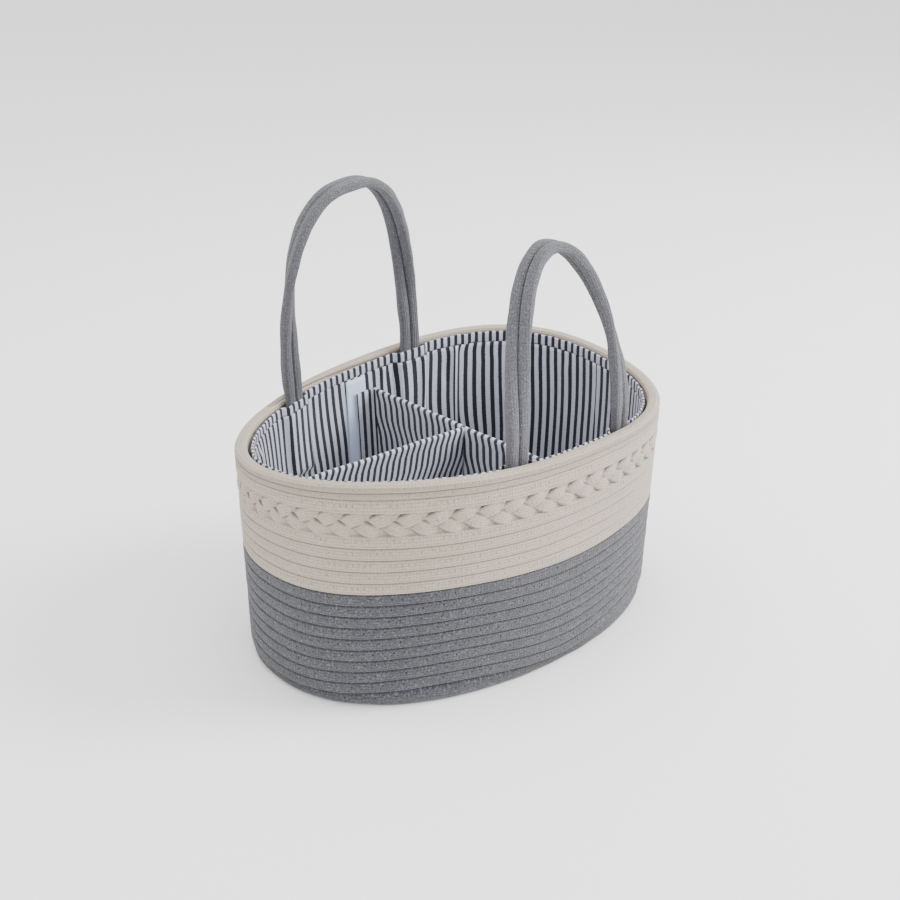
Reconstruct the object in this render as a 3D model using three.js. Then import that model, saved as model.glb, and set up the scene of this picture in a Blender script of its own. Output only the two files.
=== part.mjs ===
import * as THREE from 'three';

// Oval rope caddy: a coiled rope wall with a braided band near its top, a striped cloth lining,
// a T-shaped divider that lifts out, and two carrying handles of doubled rope.
// Millimetres. +Z is up, +X runs along the long axis, and the origin is the middle of the base.

// The oval wall, measured to the outside of the rope.
const baseLength = 359;
const baseWidth = 242.5;
const rimLength = 354;
const rimWidth = 266.3;
const baseRoundnessShare = 2.215;
const rimRoundnessShare = 2.274;
const wallSides = 24;

// The soft rim is not level and sits a little to one side of the base.
const rimShift = -2.5;
const rimTilt = 7.2;
const rimTwist = 7.4;
const rimDip = 1.1;
const rimWave = 2;
const rimWaveStartShare = 0.57;

// The rope of the wall, sewn row on row.
const ropePitch = 9.25;
const ropeDepth = 9.9;
const ropeFlatShare = 0.53;
const rowGap = 0.45;
const greyRows = 10;
const creamRows = 5;
const climbSteps = 5;
const seamSide = 9;

// The lowest row is the tallest and is turned in under the wall. The braid presses on the row
// under it, and above it come a full row, a squeezed row and the rim row.
const bottomRowHeight = 11.6;
const bottomRowTuck = 2;
const rowUnderBraidHeight = 8;
const braidBandHeight = 21;
const rowOverBraidHeight = 8.75;
const squeezedRowHeight = 4.4;
const rimRowHeight = 6;

// The rows run up and down a little on their way round, most at the lower rows.
const rowWave = 4.6;
const rowWaveRiseShare = 0.45;
const rowWaveFallShare = 2.6;
const rowWaveStartShare = 0.63;
const wavesPerTurn = 4;

// The braid, three strands that pass over and under one another.
const braidPeriods = 17;
const braidStartShare = 0.1;
const braidStepsPerPeriod = 6;
const braidStrandRadius = 2.25;
const braidHalfDepth = 4.9;
const braidInset = 4.6;

// The cloth lining.
const clothThickness = 1.5;
const liningInset = 12.2;
const hemHeight = 8;
const hemThickness = 2.6;
const hemBelowRim = 2;
const clothGap = 0.35;
const liningMiddleShare = 0.33;

// The handles, each two ropes sewn side by side.
const handleRopeWidth = 8.7;
const handleRopeDepth = 9.4;
const handleSeamGap = 0.5;
const handleSteps = 34;
const pivotAboveRim = 7;
const tailDepth = 5.4;
const tailLength = 64;
const tailGap = 0.4;
const bumpRamp = 8;
const bumpMargin = 1.2;
const bumpClearance = 1.4;

const frontHandle = {
  name: 'front_handle',
  side: -1,
  leftFoot: -46,
  rightFoot: 66,
  archHeight: 133,
  lean: 27,
  leanPowerShare: 1.6,
  skew: -1.2,
  roundnessShare: 2.05,
};
const rearHandle = {
  name: 'rear_handle',
  side: 1,
  leftFoot: -77,
  rightFoot: 49,
  archHeight: 151,
  lean: 15,
  leanPowerShare: 2.1,
  skew: -14.4,
  roundnessShare: 2.65,
};

// The divider: a panel across the basket and a stem panel from it to the left end.
const crossPlace = 10;
const stemPlace = 0.4;
const dividerBelowRim = 22;
const panelThickness = 5.4;
const panelCloth = 1.1;
const panelEdgeRadius = 1.2;
const boardGap = 0.35;
const boardEndGap = 2;
const panelEndGap = 1.8;
const panelJointGap = 0.4;

// Hook-and-loop strips, and the flaps at the panel ends that carry the hook side.
const stripThickness = 0.9;
const flapThickness = 1.2;
const flapLength = 16;
const hookStripWidth = 10;
const loopStripWidth = 20;
const loopStripPastFlap = 9;
const stripBelowDivider = 8;
const stripLength = 90;
const loopStripBelowHem = 1;

// Sizes that follow from the ones above.
const greyTop = bottomRowHeight + (greyRows - 1) * ropePitch;
const braidBottom = greyTop + (creamRows - 1) * ropePitch + rowUnderBraidHeight;
const braidTop = braidBottom + braidBandHeight;
const wallHeight = braidTop + rowOverBraidHeight + squeezedRowHeight + rimRowHeight;
const baseThickness = ropePitch - rowGap;
const liningFloorBottom = baseThickness + clothGap;
const liningFloorTop = liningFloorBottom + clothThickness;
const panelBottom = liningFloorTop + clothGap;
const hemTop = wallHeight - hemBelowRim;
const hemBottom = hemTop - hemHeight;
const dividerTop = wallHeight - dividerBelowRim;
const stripTop = dividerTop - stripBelowDivider;
const loopStripTop = hemBottom - loopStripBelowHem;
const liningInner = liningInset + clothThickness;
const tailInset = braidInset + braidHalfDepth + braidStrandRadius + tailGap + tailDepth / 2;
const bumpDepth = tailInset + tailDepth / 2 + bumpClearance - liningInset;
const ropeSpacing = handleRopeWidth + handleSeamGap;
const pairHalfWidth = ropeSpacing / 2 + handleRopeWidth / 2;

const up = new THREE.Vector3(0, 0, 1);
const mix = THREE.MathUtils.lerp;

// Counts for the searches along the wall, for the handles' curves and for measuring gaps.
const searchRounds = 40;
const archSamples = 96;
const gapParts = 6;
const roundingShare = 1e-9;

const colours = {
  cream: { color: 0xd9d3c7, roughness: 0.95 },
  grey: { color: 0x7d7f85, roughness: 0.95 },
  stripe: { color: 0xa9adb8, roughness: 0.9 },
  strip: { color: 0xdfe5f0, roughness: 0.85 },
  board: { color: 0xc9b99a, roughness: 0.8 },
};

const caddy = new THREE.Group();

function addPiece(name, geometry, look, parent = caddy) {
  const material = new THREE.MeshStandardMaterial({ ...colours[look], metalness: 0 });
  const mesh = new THREE.Mesh(geometry, material);
  mesh.name = name;
  parent.add(mesh);
}

function waveAt(angle, startShare) {
  return Math.cos(wavesPerTurn * (angle - startShare * 2 * Math.PI));
}

// One corner of the many-sided oval at a level of the wall, with its outward direction.
function wallCorner(index, level) {
  const angle = (index * 2 * Math.PI) / wallSides;
  const share = level / wallHeight;
  const a = mix(baseLength, rimLength, share) / 2;
  const b = mix(baseWidth, rimWidth, share) / 2;
  const power = mix(baseRoundnessShare, rimRoundnessShare, share);
  const c = Math.cos(angle);
  const s = Math.sin(angle);
  const radius = (Math.abs(c / a) ** power + Math.abs(s / b) ** power) ** (-1 / power);
  const outward = new THREE.Vector3(
    (Math.sign(c) * Math.abs((radius * c) / a) ** (power - 1)) / a,
    (Math.sign(s) * Math.abs((radius * s) / b) ** (power - 1)) / b,
    0,
  ).normalize();
  const wave = rimWave * waveAt(angle, rimWaveStartShare);
  const rise = rimTilt * c + rimTwist * Math.sin(2 * angle) - rimDip * Math.cos(2 * angle) + wave;
  const point = new THREE.Vector3(radius * c + rimShift * share, radius * s, level + rise * share ** 2);
  return { point, outward };
}

// A place on the wall between its corners, moved in from the outside by an inset.
function wallPlace(angle, level, inset = 0) {
  const side = (angle * wallSides) / (2 * Math.PI);
  const first = Math.floor(side + roundingShare);
  const from = wallCorner(first, level);
  const to = wallCorner(first + 1, level);
  const share = side - first;
  const outward = from.outward.lerp(to.outward, share);
  const point = from.point.lerp(to.point, share).addScaledVector(outward, -inset);
  return { point, outward: outward.normalize() };
}

// A place on the rope rows, which run up and down with the wave.
function rowPlace(angle, level, inset) {
  const place = wallPlace(angle, level, inset);
  const share = Math.min(level / wallHeight, 1);
  const peakShare = rowWaveRiseShare / (rowWaveRiseShare + rowWaveFallShare);
  const growth = (share / peakShare) ** rowWaveRiseShare;
  const fade = ((1 - share) / (1 - peakShare)) ** rowWaveFallShare;
  place.point.z += rowWave * waveAt(angle, rowWaveStartShare) * growth * fade;
  return place;
}

// The angle at which the front or rear wall, moved in by an inset, passes a place along X.
function angleAtX(x, side, level, inset) {
  let low = 0;
  let high = Math.PI;
  for (let round = 0; round < searchRounds; round += 1) {
    const middle = (low + high) / 2;
    if (wallPlace(side * middle, level, inset).point.x > x) low = middle;
    else high = middle;
  }
  return (side * (low + high)) / 2;
}

// The same for the left end wall and a place along Y.
function angleAtY(y, level, inset) {
  let low = Math.PI / 2;
  let high = (3 * Math.PI) / 2;
  for (let round = 0; round < searchRounds; round += 1) {
    const middle = (low + high) / 2;
    if (wallPlace(middle, level, inset).point.y > y) low = middle;
    else high = middle;
  }
  return (low + high) / 2;
}

// A closed body through a row of rings. The outline, in two dimensions, closes open ends.
function loft(rings, outline = null) {
  const size = rings[0].length;
  const positions = rings.flat().flatMap((p) => p.toArray());
  const faces = [];
  const spans = outline ? rings.length - 1 : rings.length;
  for (let ring = 0; ring < spans; ring += 1) {
    const next = (ring + 1) % rings.length;
    for (let i = 0; i < size; i += 1) {
      const j = (i + 1) % size;
      const [a, b, c, d] = [ring * size + i, next * size + i, next * size + j, ring * size + j];
      faces.push([a, b, c], [a, c, d]);
    }
  }
  if (outline) {
    const cap = THREE.ShapeUtils.triangulateShape(outline, []);
    const last = (rings.length - 1) * size;
    const turned = THREE.ShapeUtils.isClockWise(outline);
    for (const [a, b, c] of cap) {
      if (turned) {
        faces.push([a, c, b], [last + a, last + b, last + c]);
      } else {
        faces.push([a, b, c], [last + a, last + c, last + b]);
      }
    }
  }
  return closedGeometry(positions, faces);
}

// The faces are turned over together where they would enclose a negative volume.
function closedGeometry(positions, faces) {
  const corner = (i) => new THREE.Vector3().fromArray(positions, i * 3);
  let volume = 0;
  for (const [a, b, c] of faces) volume += corner(a).dot(corner(b).cross(corner(c)));
  const index = volume < 0 ? faces.flatMap(([a, b, c]) => [a, c, b]) : faces.flat();
  const geometry = new THREE.BufferGeometry();
  geometry.setAttribute('position', new THREE.Float32BufferAttribute(positions, 3));
  geometry.setIndex(index);
  geometry.computeVertexNormals();
  return geometry;
}

// A six-sided rope section with flat sides above and below, as places across and along.
function ropeSection(halfDepth, halfHeight) {
  const flat = halfDepth * ropeFlatShare;
  return [
    [halfDepth, 0],
    [flat, halfHeight],
    [-flat, halfHeight],
    [-halfDepth, 0],
    [-flat, -halfHeight],
    [flat, -halfHeight],
  ];
}

function sectionRing(section, centre, across, along) {
  return section.map(([u, v]) => centre.clone().addScaledVector(across, u).addScaledVector(along, v));
}

function outlineOf(section) {
  return section.map(([u, v]) => new THREE.Vector2(u, v));
}

// Row boundaries from the bottom of a coil up, read at any number of rows climbed.
function levelAt(levels, climbed) {
  const place = THREE.MathUtils.clamp(climbed, 0, levels.length - 1);
  const row = Math.min(Math.floor(place), levels.length - 2);
  return mix(levels[row], levels[row + 1], place - row);
}

// One rope wound round the wall. Each turn is level, climbs one row at the rear, and the two
// ends taper away in that climb, so that the coil is level below and above.
function coilRings(levels) {
  const rings = [];
  const rows = levels.length - 1;
  for (let step = 1 - climbSteps; step < rows * wallSides; step += 1) {
    const turn = Math.floor(step / wallSides);
    const within = step - turn * wallSides;
    const climbed = turn + Math.max(0, (within - wallSides + climbSteps) / climbSteps);
    const angle = ((seamSide + step) * 2 * Math.PI) / wallSides;
    const bottom = levelAt(levels, climbed);
    const tuck = 2 * bottomRowTuck * Math.max(0, 1 - bottom / bottomRowHeight);
    const low = rowPlace(angle, bottom, ropeDepth / 2 + tuck);
    const high = rowPlace(angle, levelAt(levels, climbed + 1), ropeDepth / 2);
    const centre = low.point.clone().lerp(high.point, 1 / 2);
    const halfHeight = (high.point.z - low.point.z - rowGap) / 2;
    rings.push(sectionRing(ropeSection(ropeDepth / 2, halfHeight), centre, low.outward, up));
  }
  return rings;
}

// The least gap between a coil's turns, taken between the points of each ring and those of
// the rings one turn further on.
function leastTurnGap(rings) {
  let least = Infinity;
  for (let ring = 0; ring + wallSides < rings.length; ring += 1) {
    for (const near of [wallSides - 1, wallSides, wallSides + 1]) {
      const other = rings[ring + near];
      if (!other) continue;
      for (const p of rings[ring]) for (const q of other) least = Math.min(least, p.distanceTo(q));
    }
  }
  return least;
}

function addCoil(name, levels, look) {
  const rings = coilRings(levels);
  console.log(`${name}: least gap between turns ${leastTurnGap(rings).toFixed(2)} mm`);
  addPiece(name, loft(rings, outlineOf(ropeSection(1, 1))), look);
}

// Row boundaries from the bottom up, from the height of each row.
function rowLevels(bottom, heights) {
  const levels = [bottom];
  for (const height of heights) levels.push(levels[levels.length - 1] + height);
  return levels;
}

// Angles that are evenly spaced along the wall at one level.
function evenAngles(count, level, start) {
  const corners = Array.from({ length: wallSides + 1 }, (_, side) => (side * 2 * Math.PI) / wallSides);
  const points = corners.map((angle) => wallPlace(angle, level).point);
  const run = [0];
  for (let side = 0; side < wallSides; side += 1) {
    run.push(run[side] + points[side].distanceTo(points[side + 1]));
  }
  return Array.from({ length: count }, (_, step) => {
    const goal = (run[wallSides] * (step + start)) / count;
    const side = run.findIndex((length) => length > goal) - 1;
    return mix(corners[side], corners[side + 1], (goal - run[side]) / (run[side + 1] - run[side]));
  });
}

// The three strands of the braid, each closed on itself after one turn of the basket.
function strandRings(strand) {
  const steps = braidPeriods * braidStepsPerPeriod;
  const middle = (braidBottom + braidTop) / 2;
  const halfRise = braidBandHeight / 2 - braidStrandRadius - rowGap / 2;
  const centres = [];
  const outwards = [];
  const start = braidStartShare * braidStepsPerPeriod;
  evenAngles(steps, middle, start).forEach((angle, step) => {
    const swing = (2 * Math.PI * (step + 1 / 2)) / braidStepsPerPeriod + (2 * Math.PI * strand) / 3;
    const inset = braidInset - braidHalfDepth * Math.sin(2 * swing);
    const place = rowPlace(angle, middle + halfRise * Math.sin(swing), inset);
    centres.push(place.point);
    outwards.push(place.outward);
  });
  const round = ropeSection(braidStrandRadius, braidStrandRadius);
  return centres.map((centre, step) => {
    const before = centres[(step + steps - 1) % steps];
    const after = centres[(step + 1) % steps];
    const along = after.clone().sub(before).normalize();
    const rise = along.clone().cross(outwards[step]).normalize();
    const across = rise.clone().cross(along);
    return sectionRing(round, centre, across, rise);
  });
}

// Points along the edges of a span between two rings.
function spanPoints(ring, next) {
  return ring.flatMap((corner, i) => {
    const ends = [next[i], ring[(i + 1) % ring.length], next[(i + 1) % ring.length]];
    const shares = Array.from({ length: gapParts }, (_, part) => part / gapParts);
    return ends.flatMap((end) => shares.map((share) => corner.clone().lerp(end, share)));
  });
}

function spanFaces(ring, next) {
  return ring.flatMap((corner, i) => {
    const j = (i + 1) % ring.length;
    return [new THREE.Triangle(corner, next[i], next[j]), new THREE.Triangle(corner, next[j], ring[j])];
  });
}

// The least gap between two strands, from points on the edges of one to the faces of the other.
function leastStrandGap(first, second) {
  const size = first.length;
  const faces = second.map((ring, index) => spanFaces(ring, second[(index + 1) % size]));
  const nearest = new THREE.Vector3();
  let least = Infinity;
  first.forEach((ring, index) => {
    const points = spanPoints(ring, first[(index + 1) % size]);
    for (const step of [-2, -1, 0, 1, 2]) {
      for (const face of faces[(index + step + size) % size]) {
        for (const p of points) {
          face.closestPointToPoint(p, nearest);
          least = Math.min(least, p.distanceTo(nearest));
        }
      }
    }
  });
  return least;
}

function addBraid() {
  const strands = [0, 1, 2].map(strandRings);
  for (const [a, b] of [[0, 1], [1, 2], [2, 0]]) {
    const gap = Math.min(leastStrandGap(strands[a], strands[b]), leastStrandGap(strands[b], strands[a]));
    console.log(`braid strands ${a + 1} and ${b + 1}: least gap ${gap.toFixed(2)} mm`);
  }
  strands.forEach((rings, index) => addPiece(`braid_strand_${index + 1}`, loft(rings), 'cream'));
}

// A flat oval plate that follows the wall at one level.
function ovalPlate(level, inset, bottom, thickness) {
  const corners = Array.from({ length: wallSides }, (_, side) => {
    const { point } = wallPlace((side * 2 * Math.PI) / wallSides, level, inset);
    return new THREE.Vector2(point.x, point.y);
  });
  const options = { depth: thickness, bevelEnabled: false };
  return new THREE.ExtrudeGeometry(new THREE.Shape(corners), options).translate(0, 0, bottom);
}

// The feet of a handle on the wall, and the hinge line through them that it turns about.
function handleHinge(handle) {
  const [left, right] = [handle.leftFoot, handle.rightFoot].map((x) => {
    const angle = angleAtX(x, handle.side, wallHeight, tailInset);
    const { point, outward } = wallPlace(angle, wallHeight, tailInset);
    return { angle, outward, point: point.clone().addScaledVector(up, pivotAboveRim) };
  });
  const axis = right.point.clone().sub(left.point).normalize();
  const outward = axis.clone().cross(up).multiplyScalar(-handle.side).normalize();
  return { left, right, axis, outward };
}

const handles = [frontHandle, rearHandle];
const feet = handles.flatMap((handle) => {
  const { left, right } = handleHinge(handle);
  return [left, right];
});

// How far the lining is pushed in by the sewn-in tails of the handles.
function bump(angle, level) {
  const tailStart = hemBottom - tailLength;
  const rise = THREE.MathUtils.smoothstep(level, tailStart, tailStart + bumpRamp);
  const here = wallPlace(angle, wallHeight, tailInset).point;
  let share = 0;
  for (const foot of feet) {
    const there = wallPlace(foot.angle, wallHeight, tailInset).point;
    const aside = here.distanceTo(there) - pairHalfWidth - bumpMargin;
    share = Math.max(share, 1 - THREE.MathUtils.clamp(aside / bumpRamp, 0, 1));
  }
  return bumpDepth * share * rise;
}

// The angles of the wall's corners, and those where the lining bends round a tail.
function liningAngles() {
  const turn = 2 * Math.PI;
  const corners = Array.from({ length: wallSides }, (_, side) => (side * turn) / wallSides);
  const bends = feet.flatMap((foot) => {
    const radius = Math.hypot(foot.point.x, foot.point.y);
    const near = (pairHalfWidth + bumpMargin) / radius;
    const far = (pairHalfWidth + bumpMargin + bumpRamp) / radius;
    return [-far, -near, near, far].map((offset) => (foot.angle + offset + turn) % turn);
  });
  return [...corners, ...bends].sort((a, b) => a - b);
}

// A sheet of cloth that follows the wall between its levels.
function wallSheet(angles, levels, insetAt, thickness, closed = false) {
  const rings = angles.map((angle) => {
    const outer = levels.map((level) => wallPlace(angle, level, insetAt(angle, level)).point);
    const inner = levels.map((level) => wallPlace(angle, level, insetAt(angle, level) + thickness).point);
    return [...outer, ...inner.reverse()];
  });
  if (closed) return loft(rings);
  const outline = [
    ...levels.map((level) => new THREE.Vector2(thickness, level)),
    ...levels.map((level) => new THREE.Vector2(0, level)).reverse(),
  ];
  return loft(rings, outline);
}

// The wall's corners between two angles, with the two angles themselves at the ends.
function anglesBetween(start, end) {
  const side = (2 * Math.PI) / wallSides;
  const [low, high] = [Math.min(start, end), Math.max(start, end)];
  const angles = [low];
  for (let corner = Math.ceil(low / side); corner * side < high; corner += 1) {
    if (corner * side > low) angles.push(corner * side);
  }
  return [...angles, high];
}

function addLining() {
  const angles = liningAngles();
  const tailStart = hemBottom - tailLength;
  const levels = [
    liningFloorBottom,
    wallHeight * liningMiddleShare,
    tailStart,
    tailStart + bumpRamp,
    braidTop,
    hemBottom - clothGap,
  ];
  const insetAt = (angle, level) => liningInset + bump(angle, level);
  const floor = ovalPlate(liningFloorBottom, liningInner + clothGap, liningFloorBottom, clothThickness);
  addPiece('lining_floor', floor, 'stripe');
  addPiece('lining_wall', wallSheet(angles, levels, insetAt, clothThickness, true), 'stripe');
  addPiece('lining_hem', wallSheet(angles, [hemBottom, hemTop], insetAt, hemThickness, true), 'stripe');
}

// The tails of a handle's ropes, flattened and sewn between the rope wall and the lining.
function addTails(handle) {
  const section = ropeSection(tailDepth / 2, handleRopeWidth / 2);
  const tailStart = hemBottom - tailLength + bumpRamp;
  const { left, right, axis, outward } = handleHinge(handle);
  [left, right].forEach((foot, side) => {
    const tangent = up.clone().cross(foot.outward);
    if (tangent.dot(axis) < 0) tangent.negate();
    for (const rope of [0, 1]) {
      const offset = (rope - 1 / 2) * ropeSpacing;
      const sewn = [tailStart, wallHeight].map((level) => {
        const centre = wallPlace(foot.angle, level, tailInset).point.addScaledVector(tangent, offset);
        return sectionRing(section, centre, foot.outward, tangent);
      });
      const end = foot.point.clone().addScaledVector(axis, offset);
      end.addScaledVector(up, -handleRopeDepth / 2 - tailGap);
      const rings = [...sewn, sectionRing(section, end, outward, axis)];
      addPiece(`${handle.name}_tail_${side * 2 + rope + 1}`, loft(rings, outlineOf(section)), 'grey');
    }
  });
}

// The middle line of a handle, an arch that leans inwards over its feet.
function archCurve(handle) {
  const { left, right } = handleHinge(handle);
  const middle = left.point.clone().lerp(right.point, 1 / 2);
  const half = right.point.clone().sub(left.point).divideScalar(2);
  const points = Array.from({ length: archSamples + 1 }, (_, sample) => {
    const turn = Math.PI * (1 - sample / archSamples);
    const c = Math.cos(turn);
    const s = Math.sin(turn);
    const across = Math.sign(c) * Math.abs(c) ** (2 / handle.roundnessShare);
    const rise = Math.max(0, s) ** (2 / handle.roundnessShare);
    return middle.clone().addScaledVector(half, across).add(new THREE.Vector3(
      handle.skew * rise,
      -handle.side * handle.lean * rise ** handle.leanPowerShare,
      handle.archHeight * rise,
    ));
  });
  return new THREE.CatmullRomCurve3(points);
}

// Each rope ends at the foot in a knuckle that is round about the hinge line.
function knuckleRings(foot, offset, axis, outward) {
  const radius = handleRopeDepth / 2;
  const dropShares = [1, 0.87, 0.5];
  return dropShares.map((drop) => {
    const centre = foot.clone().addScaledVector(axis, offset).addScaledVector(up, -radius * drop);
    const depth = Math.max(tailGap, radius * Math.sqrt(1 - drop ** 2));
    return sectionRing(ropeSection(depth, handleRopeWidth / 2), centre, outward, axis);
  });
}

// The pair of ropes turns a quarter about itself from each foot to the top of the arch.
function handleRopeRings(handle, rope) {
  const curve = archCurve(handle);
  const { left, right, axis, outward } = handleHinge(handle);
  const offset = (rope - 1 / 2) * ropeSpacing;
  const section = ropeSection(handleRopeDepth / 2, handleRopeWidth / 2);
  const spaced = curve.getSpacedPoints(handleSteps);
  const rings = [];
  for (let step = 1; step < handleSteps; step += 1) {
    const centre = spaced[step];
    const along = spaced[step + 1].clone().sub(spaced[step - 1]).normalize();
    const flat = outward.clone().addScaledVector(along, -outward.dot(along)).normalize();
    const crown = flat.clone().cross(along).multiplyScalar(-handle.side);
    const share = 1 - Math.abs((2 * step) / handleSteps - 1);
    const turn = (Math.PI / 2) * Math.sin((Math.PI / 2) * share);
    const depthway = flat.multiplyScalar(Math.cos(turn)).addScaledVector(crown, Math.sin(turn));
    const widthway = along.clone().cross(depthway).multiplyScalar(-handle.side);
    const middle = centre.clone().addScaledVector(widthway, offset);
    rings.push(sectionRing(section, middle, depthway, widthway));
  }
  const footRing = (foot, aside) => {
    const centre = foot.clone().addScaledVector(axis, aside);
    return sectionRing(section, centre, outward, axis);
  };
  const start = [...knuckleRings(left.point, offset, axis, outward), footRing(left.point, offset)];
  const end = [...knuckleRings(right.point, -offset, axis, outward), footRing(right.point, -offset)];
  const turnOver = (ring) => [0, 5, 4, 3, 2, 1].map((i) => ring[i]);
  return [...start, ...rings, ...end.reverse().map(turnOver)];
}

function addHandle(handle) {
  const group = new THREE.Group();
  const outline = outlineOf(ropeSection(1, 1));
  for (const rope of [0, 1]) {
    const rings = handleRopeRings(handle, rope);
    addPiece(`${handle.name}_rope_${rope + 1}`, loft(rings, outline), 'grey', group);
  }
  caddy.add(group);
}

// The line that a handle turns about, once the caddy stands centred on its origin.
function printHinge(handle) {
  const { left, right, axis } = handleHinge(handle);
  const place = left.point.clone().lerp(right.point, 1 / 2).add(caddy.position);
  const list = (v) => v.toArray().map((n) => n.toFixed(4)).join(', ');
  console.log(`${handle.name}: hinge through ${list(place)} along ${list(axis)}`);
}

// A padded panel of the divider: a cloth sleeve over a stiff board, open below.
function panelSleeve() {
  const half = panelThickness / 2;
  const inner = half - panelCloth;
  return [
    [-half, panelBottom],
    [-half, dividerTop - panelEdgeRadius],
    [-half + panelEdgeRadius, dividerTop],
    [half - panelEdgeRadius, dividerTop],
    [half, dividerTop - panelEdgeRadius],
    [half, panelBottom],
    [inner, panelBottom],
    [inner, dividerTop - panelCloth],
    [-inner, dividerTop - panelCloth],
    [-inner, panelBottom],
  ];
}

function panelBoard() {
  const half = panelThickness / 2 - panelCloth - boardGap;
  const top = dividerTop - panelCloth - boardGap;
  return [[-half, panelBottom], [-half, top], [half, top], [half, panelBottom]];
}

// A section run between two ends whose places may change with height.
function runBetween(section, place) {
  const rings = [0, 1].map((end) => section.map(([across, level]) => place(end, across, level)));
  return loft(rings, outlineOf(section));
}

function crossPlaceOf(shorter) {
  return (end, across, level) => {
    const side = end * 2 - 1;
    const wall = wallPlace((side * Math.PI) / 2, level, liningInner + panelEndGap + shorter);
    return new THREE.Vector3(crossPlace + across, wall.point.y, level);
  };
}

function stemPlaceOf(shorter) {
  return (end, across, level) => {
    const wall = wallPlace(Math.PI, level, liningInner + panelEndGap + shorter);
    const joint = crossPlace - panelThickness / 2 - panelJointGap - shorter;
    return new THREE.Vector3(mix(wall.point.x, joint, end), stemPlace + across, level);
  };
}

// A flap from a panel's end lies along the wall, with the hook strip between it and the
// loop strip that is sewn to the lining.
function addFlap(end, angleOf) {
  const loopInset = liningInner + clothGap;
  const hookInset = loopInset + stripThickness + clothGap;
  const flapInset = hookInset + stripThickness + clothGap;
  const start = panelThickness / 2 + panelJointGap;
  const finish = start + flapLength;
  const loopEnd = finish + loopStripPastFlap;
  const flapAngles = anglesBetween(angleOf(start, flapInset, panelBottom), angleOf(finish, flapInset));
  const stripAngles = (place, width, inset) =>
    anglesBetween(angleOf(place - width, inset), angleOf(place, inset));
  const hookAngles = stripAngles(finish, hookStripWidth, hookInset);
  const loopAngles = stripAngles(loopEnd, loopStripWidth, loopInset);
  const alongWall = (angles, bottom, top, inset, thickness) =>
    wallSheet(angles, [bottom, top], () => inset, thickness);
  const flapTop = dividerTop - panelEdgeRadius;
  const stripBottom = stripTop - stripLength;
  const flap = alongWall(flapAngles, panelBottom, flapTop, flapInset, flapThickness);
  const hookStrip = alongWall(hookAngles, stripBottom, stripTop, hookInset, stripThickness);
  const loopStrip = alongWall(loopAngles, stripBottom, loopStripTop, loopInset, stripThickness);
  addPiece(`divider_${end}_flap`, flap, 'stripe');
  addPiece(`hook_strip_${end}`, hookStrip, 'strip');
  addPiece(`loop_strip_${end}`, loopStrip, 'strip');
}

function addDivider() {
  addPiece('divider_cross_cover', runBetween(panelSleeve(), crossPlaceOf(0)), 'stripe');
  addPiece('divider_cross_board', runBetween(panelBoard(), crossPlaceOf(boardEndGap)), 'board');
  addPiece('divider_stem_cover', runBetween(panelSleeve(), stemPlaceOf(0)), 'stripe');
  addPiece('divider_stem_board', runBetween(panelBoard(), stemPlaceOf(boardEndGap)), 'board');
  addFlap('rear', (along, inset, level = stripTop) =>
    angleAtX(crossPlace - along, 1, level, inset));
  addFlap('front', (along, inset, level = stripTop) =>
    angleAtX(crossPlace - along, -1, level, inset));
  addFlap('left', (along, inset, level = stripTop) =>
    angleAtY(stemPlace + along, level, inset));
}

const baseInset = ropeDepth + bottomRowTuck + clothGap;
addPiece('base_rope_coil', ovalPlate(ropePitch / 2, baseInset, 0, baseThickness), 'grey');
const greyHeights = [bottomRowHeight, ...Array(greyRows - 1).fill(ropePitch)];
const creamHeights = [...Array(creamRows - 1).fill(ropePitch), rowUnderBraidHeight];
const rimHeights = [rowOverBraidHeight, squeezedRowHeight, rimRowHeight];
addCoil('grey_wall_rope', rowLevels(0, greyHeights), 'grey');
addCoil('cream_lower_rope', rowLevels(greyTop, creamHeights), 'cream');
addBraid();
addCoil('cream_upper_rope', rowLevels(braidTop, rimHeights), 'cream');
addLining();
handles.forEach(addTails);
handles.forEach(addHandle);
addDivider();

// The origin is the middle of the whole object, at the surface that it stands on.
const bounds = new THREE.Box3().setFromObject(caddy, true);
caddy.position.set(-(bounds.min.x + bounds.max.x) / 2, -(bounds.min.y + bounds.max.y) / 2, 0);
handles.forEach(printHinge);

export default caddy;
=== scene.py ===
import math

import bpy
import numpy as np
from mathutils import Matrix, Vector


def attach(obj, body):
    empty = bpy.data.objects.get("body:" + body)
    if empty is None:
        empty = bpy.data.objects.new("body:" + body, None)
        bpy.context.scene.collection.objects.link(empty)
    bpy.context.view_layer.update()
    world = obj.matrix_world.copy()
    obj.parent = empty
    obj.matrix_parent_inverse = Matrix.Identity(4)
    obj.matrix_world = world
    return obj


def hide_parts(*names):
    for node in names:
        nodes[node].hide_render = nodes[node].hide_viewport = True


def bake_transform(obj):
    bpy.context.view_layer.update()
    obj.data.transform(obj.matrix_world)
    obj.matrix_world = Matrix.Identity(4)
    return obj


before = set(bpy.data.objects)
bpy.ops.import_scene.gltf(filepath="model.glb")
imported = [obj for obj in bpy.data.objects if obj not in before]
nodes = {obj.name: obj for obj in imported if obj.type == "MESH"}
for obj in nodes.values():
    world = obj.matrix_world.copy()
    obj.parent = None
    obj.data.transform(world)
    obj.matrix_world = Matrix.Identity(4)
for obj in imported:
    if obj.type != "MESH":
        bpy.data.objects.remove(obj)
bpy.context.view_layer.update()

# Oval rope caddy with a braided band, a striped lining, a T-shaped divider and two rope handles.
# Metres, in the frame of the CAD model: +Z is up and +X runs along the long axis.

tau = 2 * math.pi
up = np.array([0.0, 0.0, 1.0])

# Camera, at the photo's angle.

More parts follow.
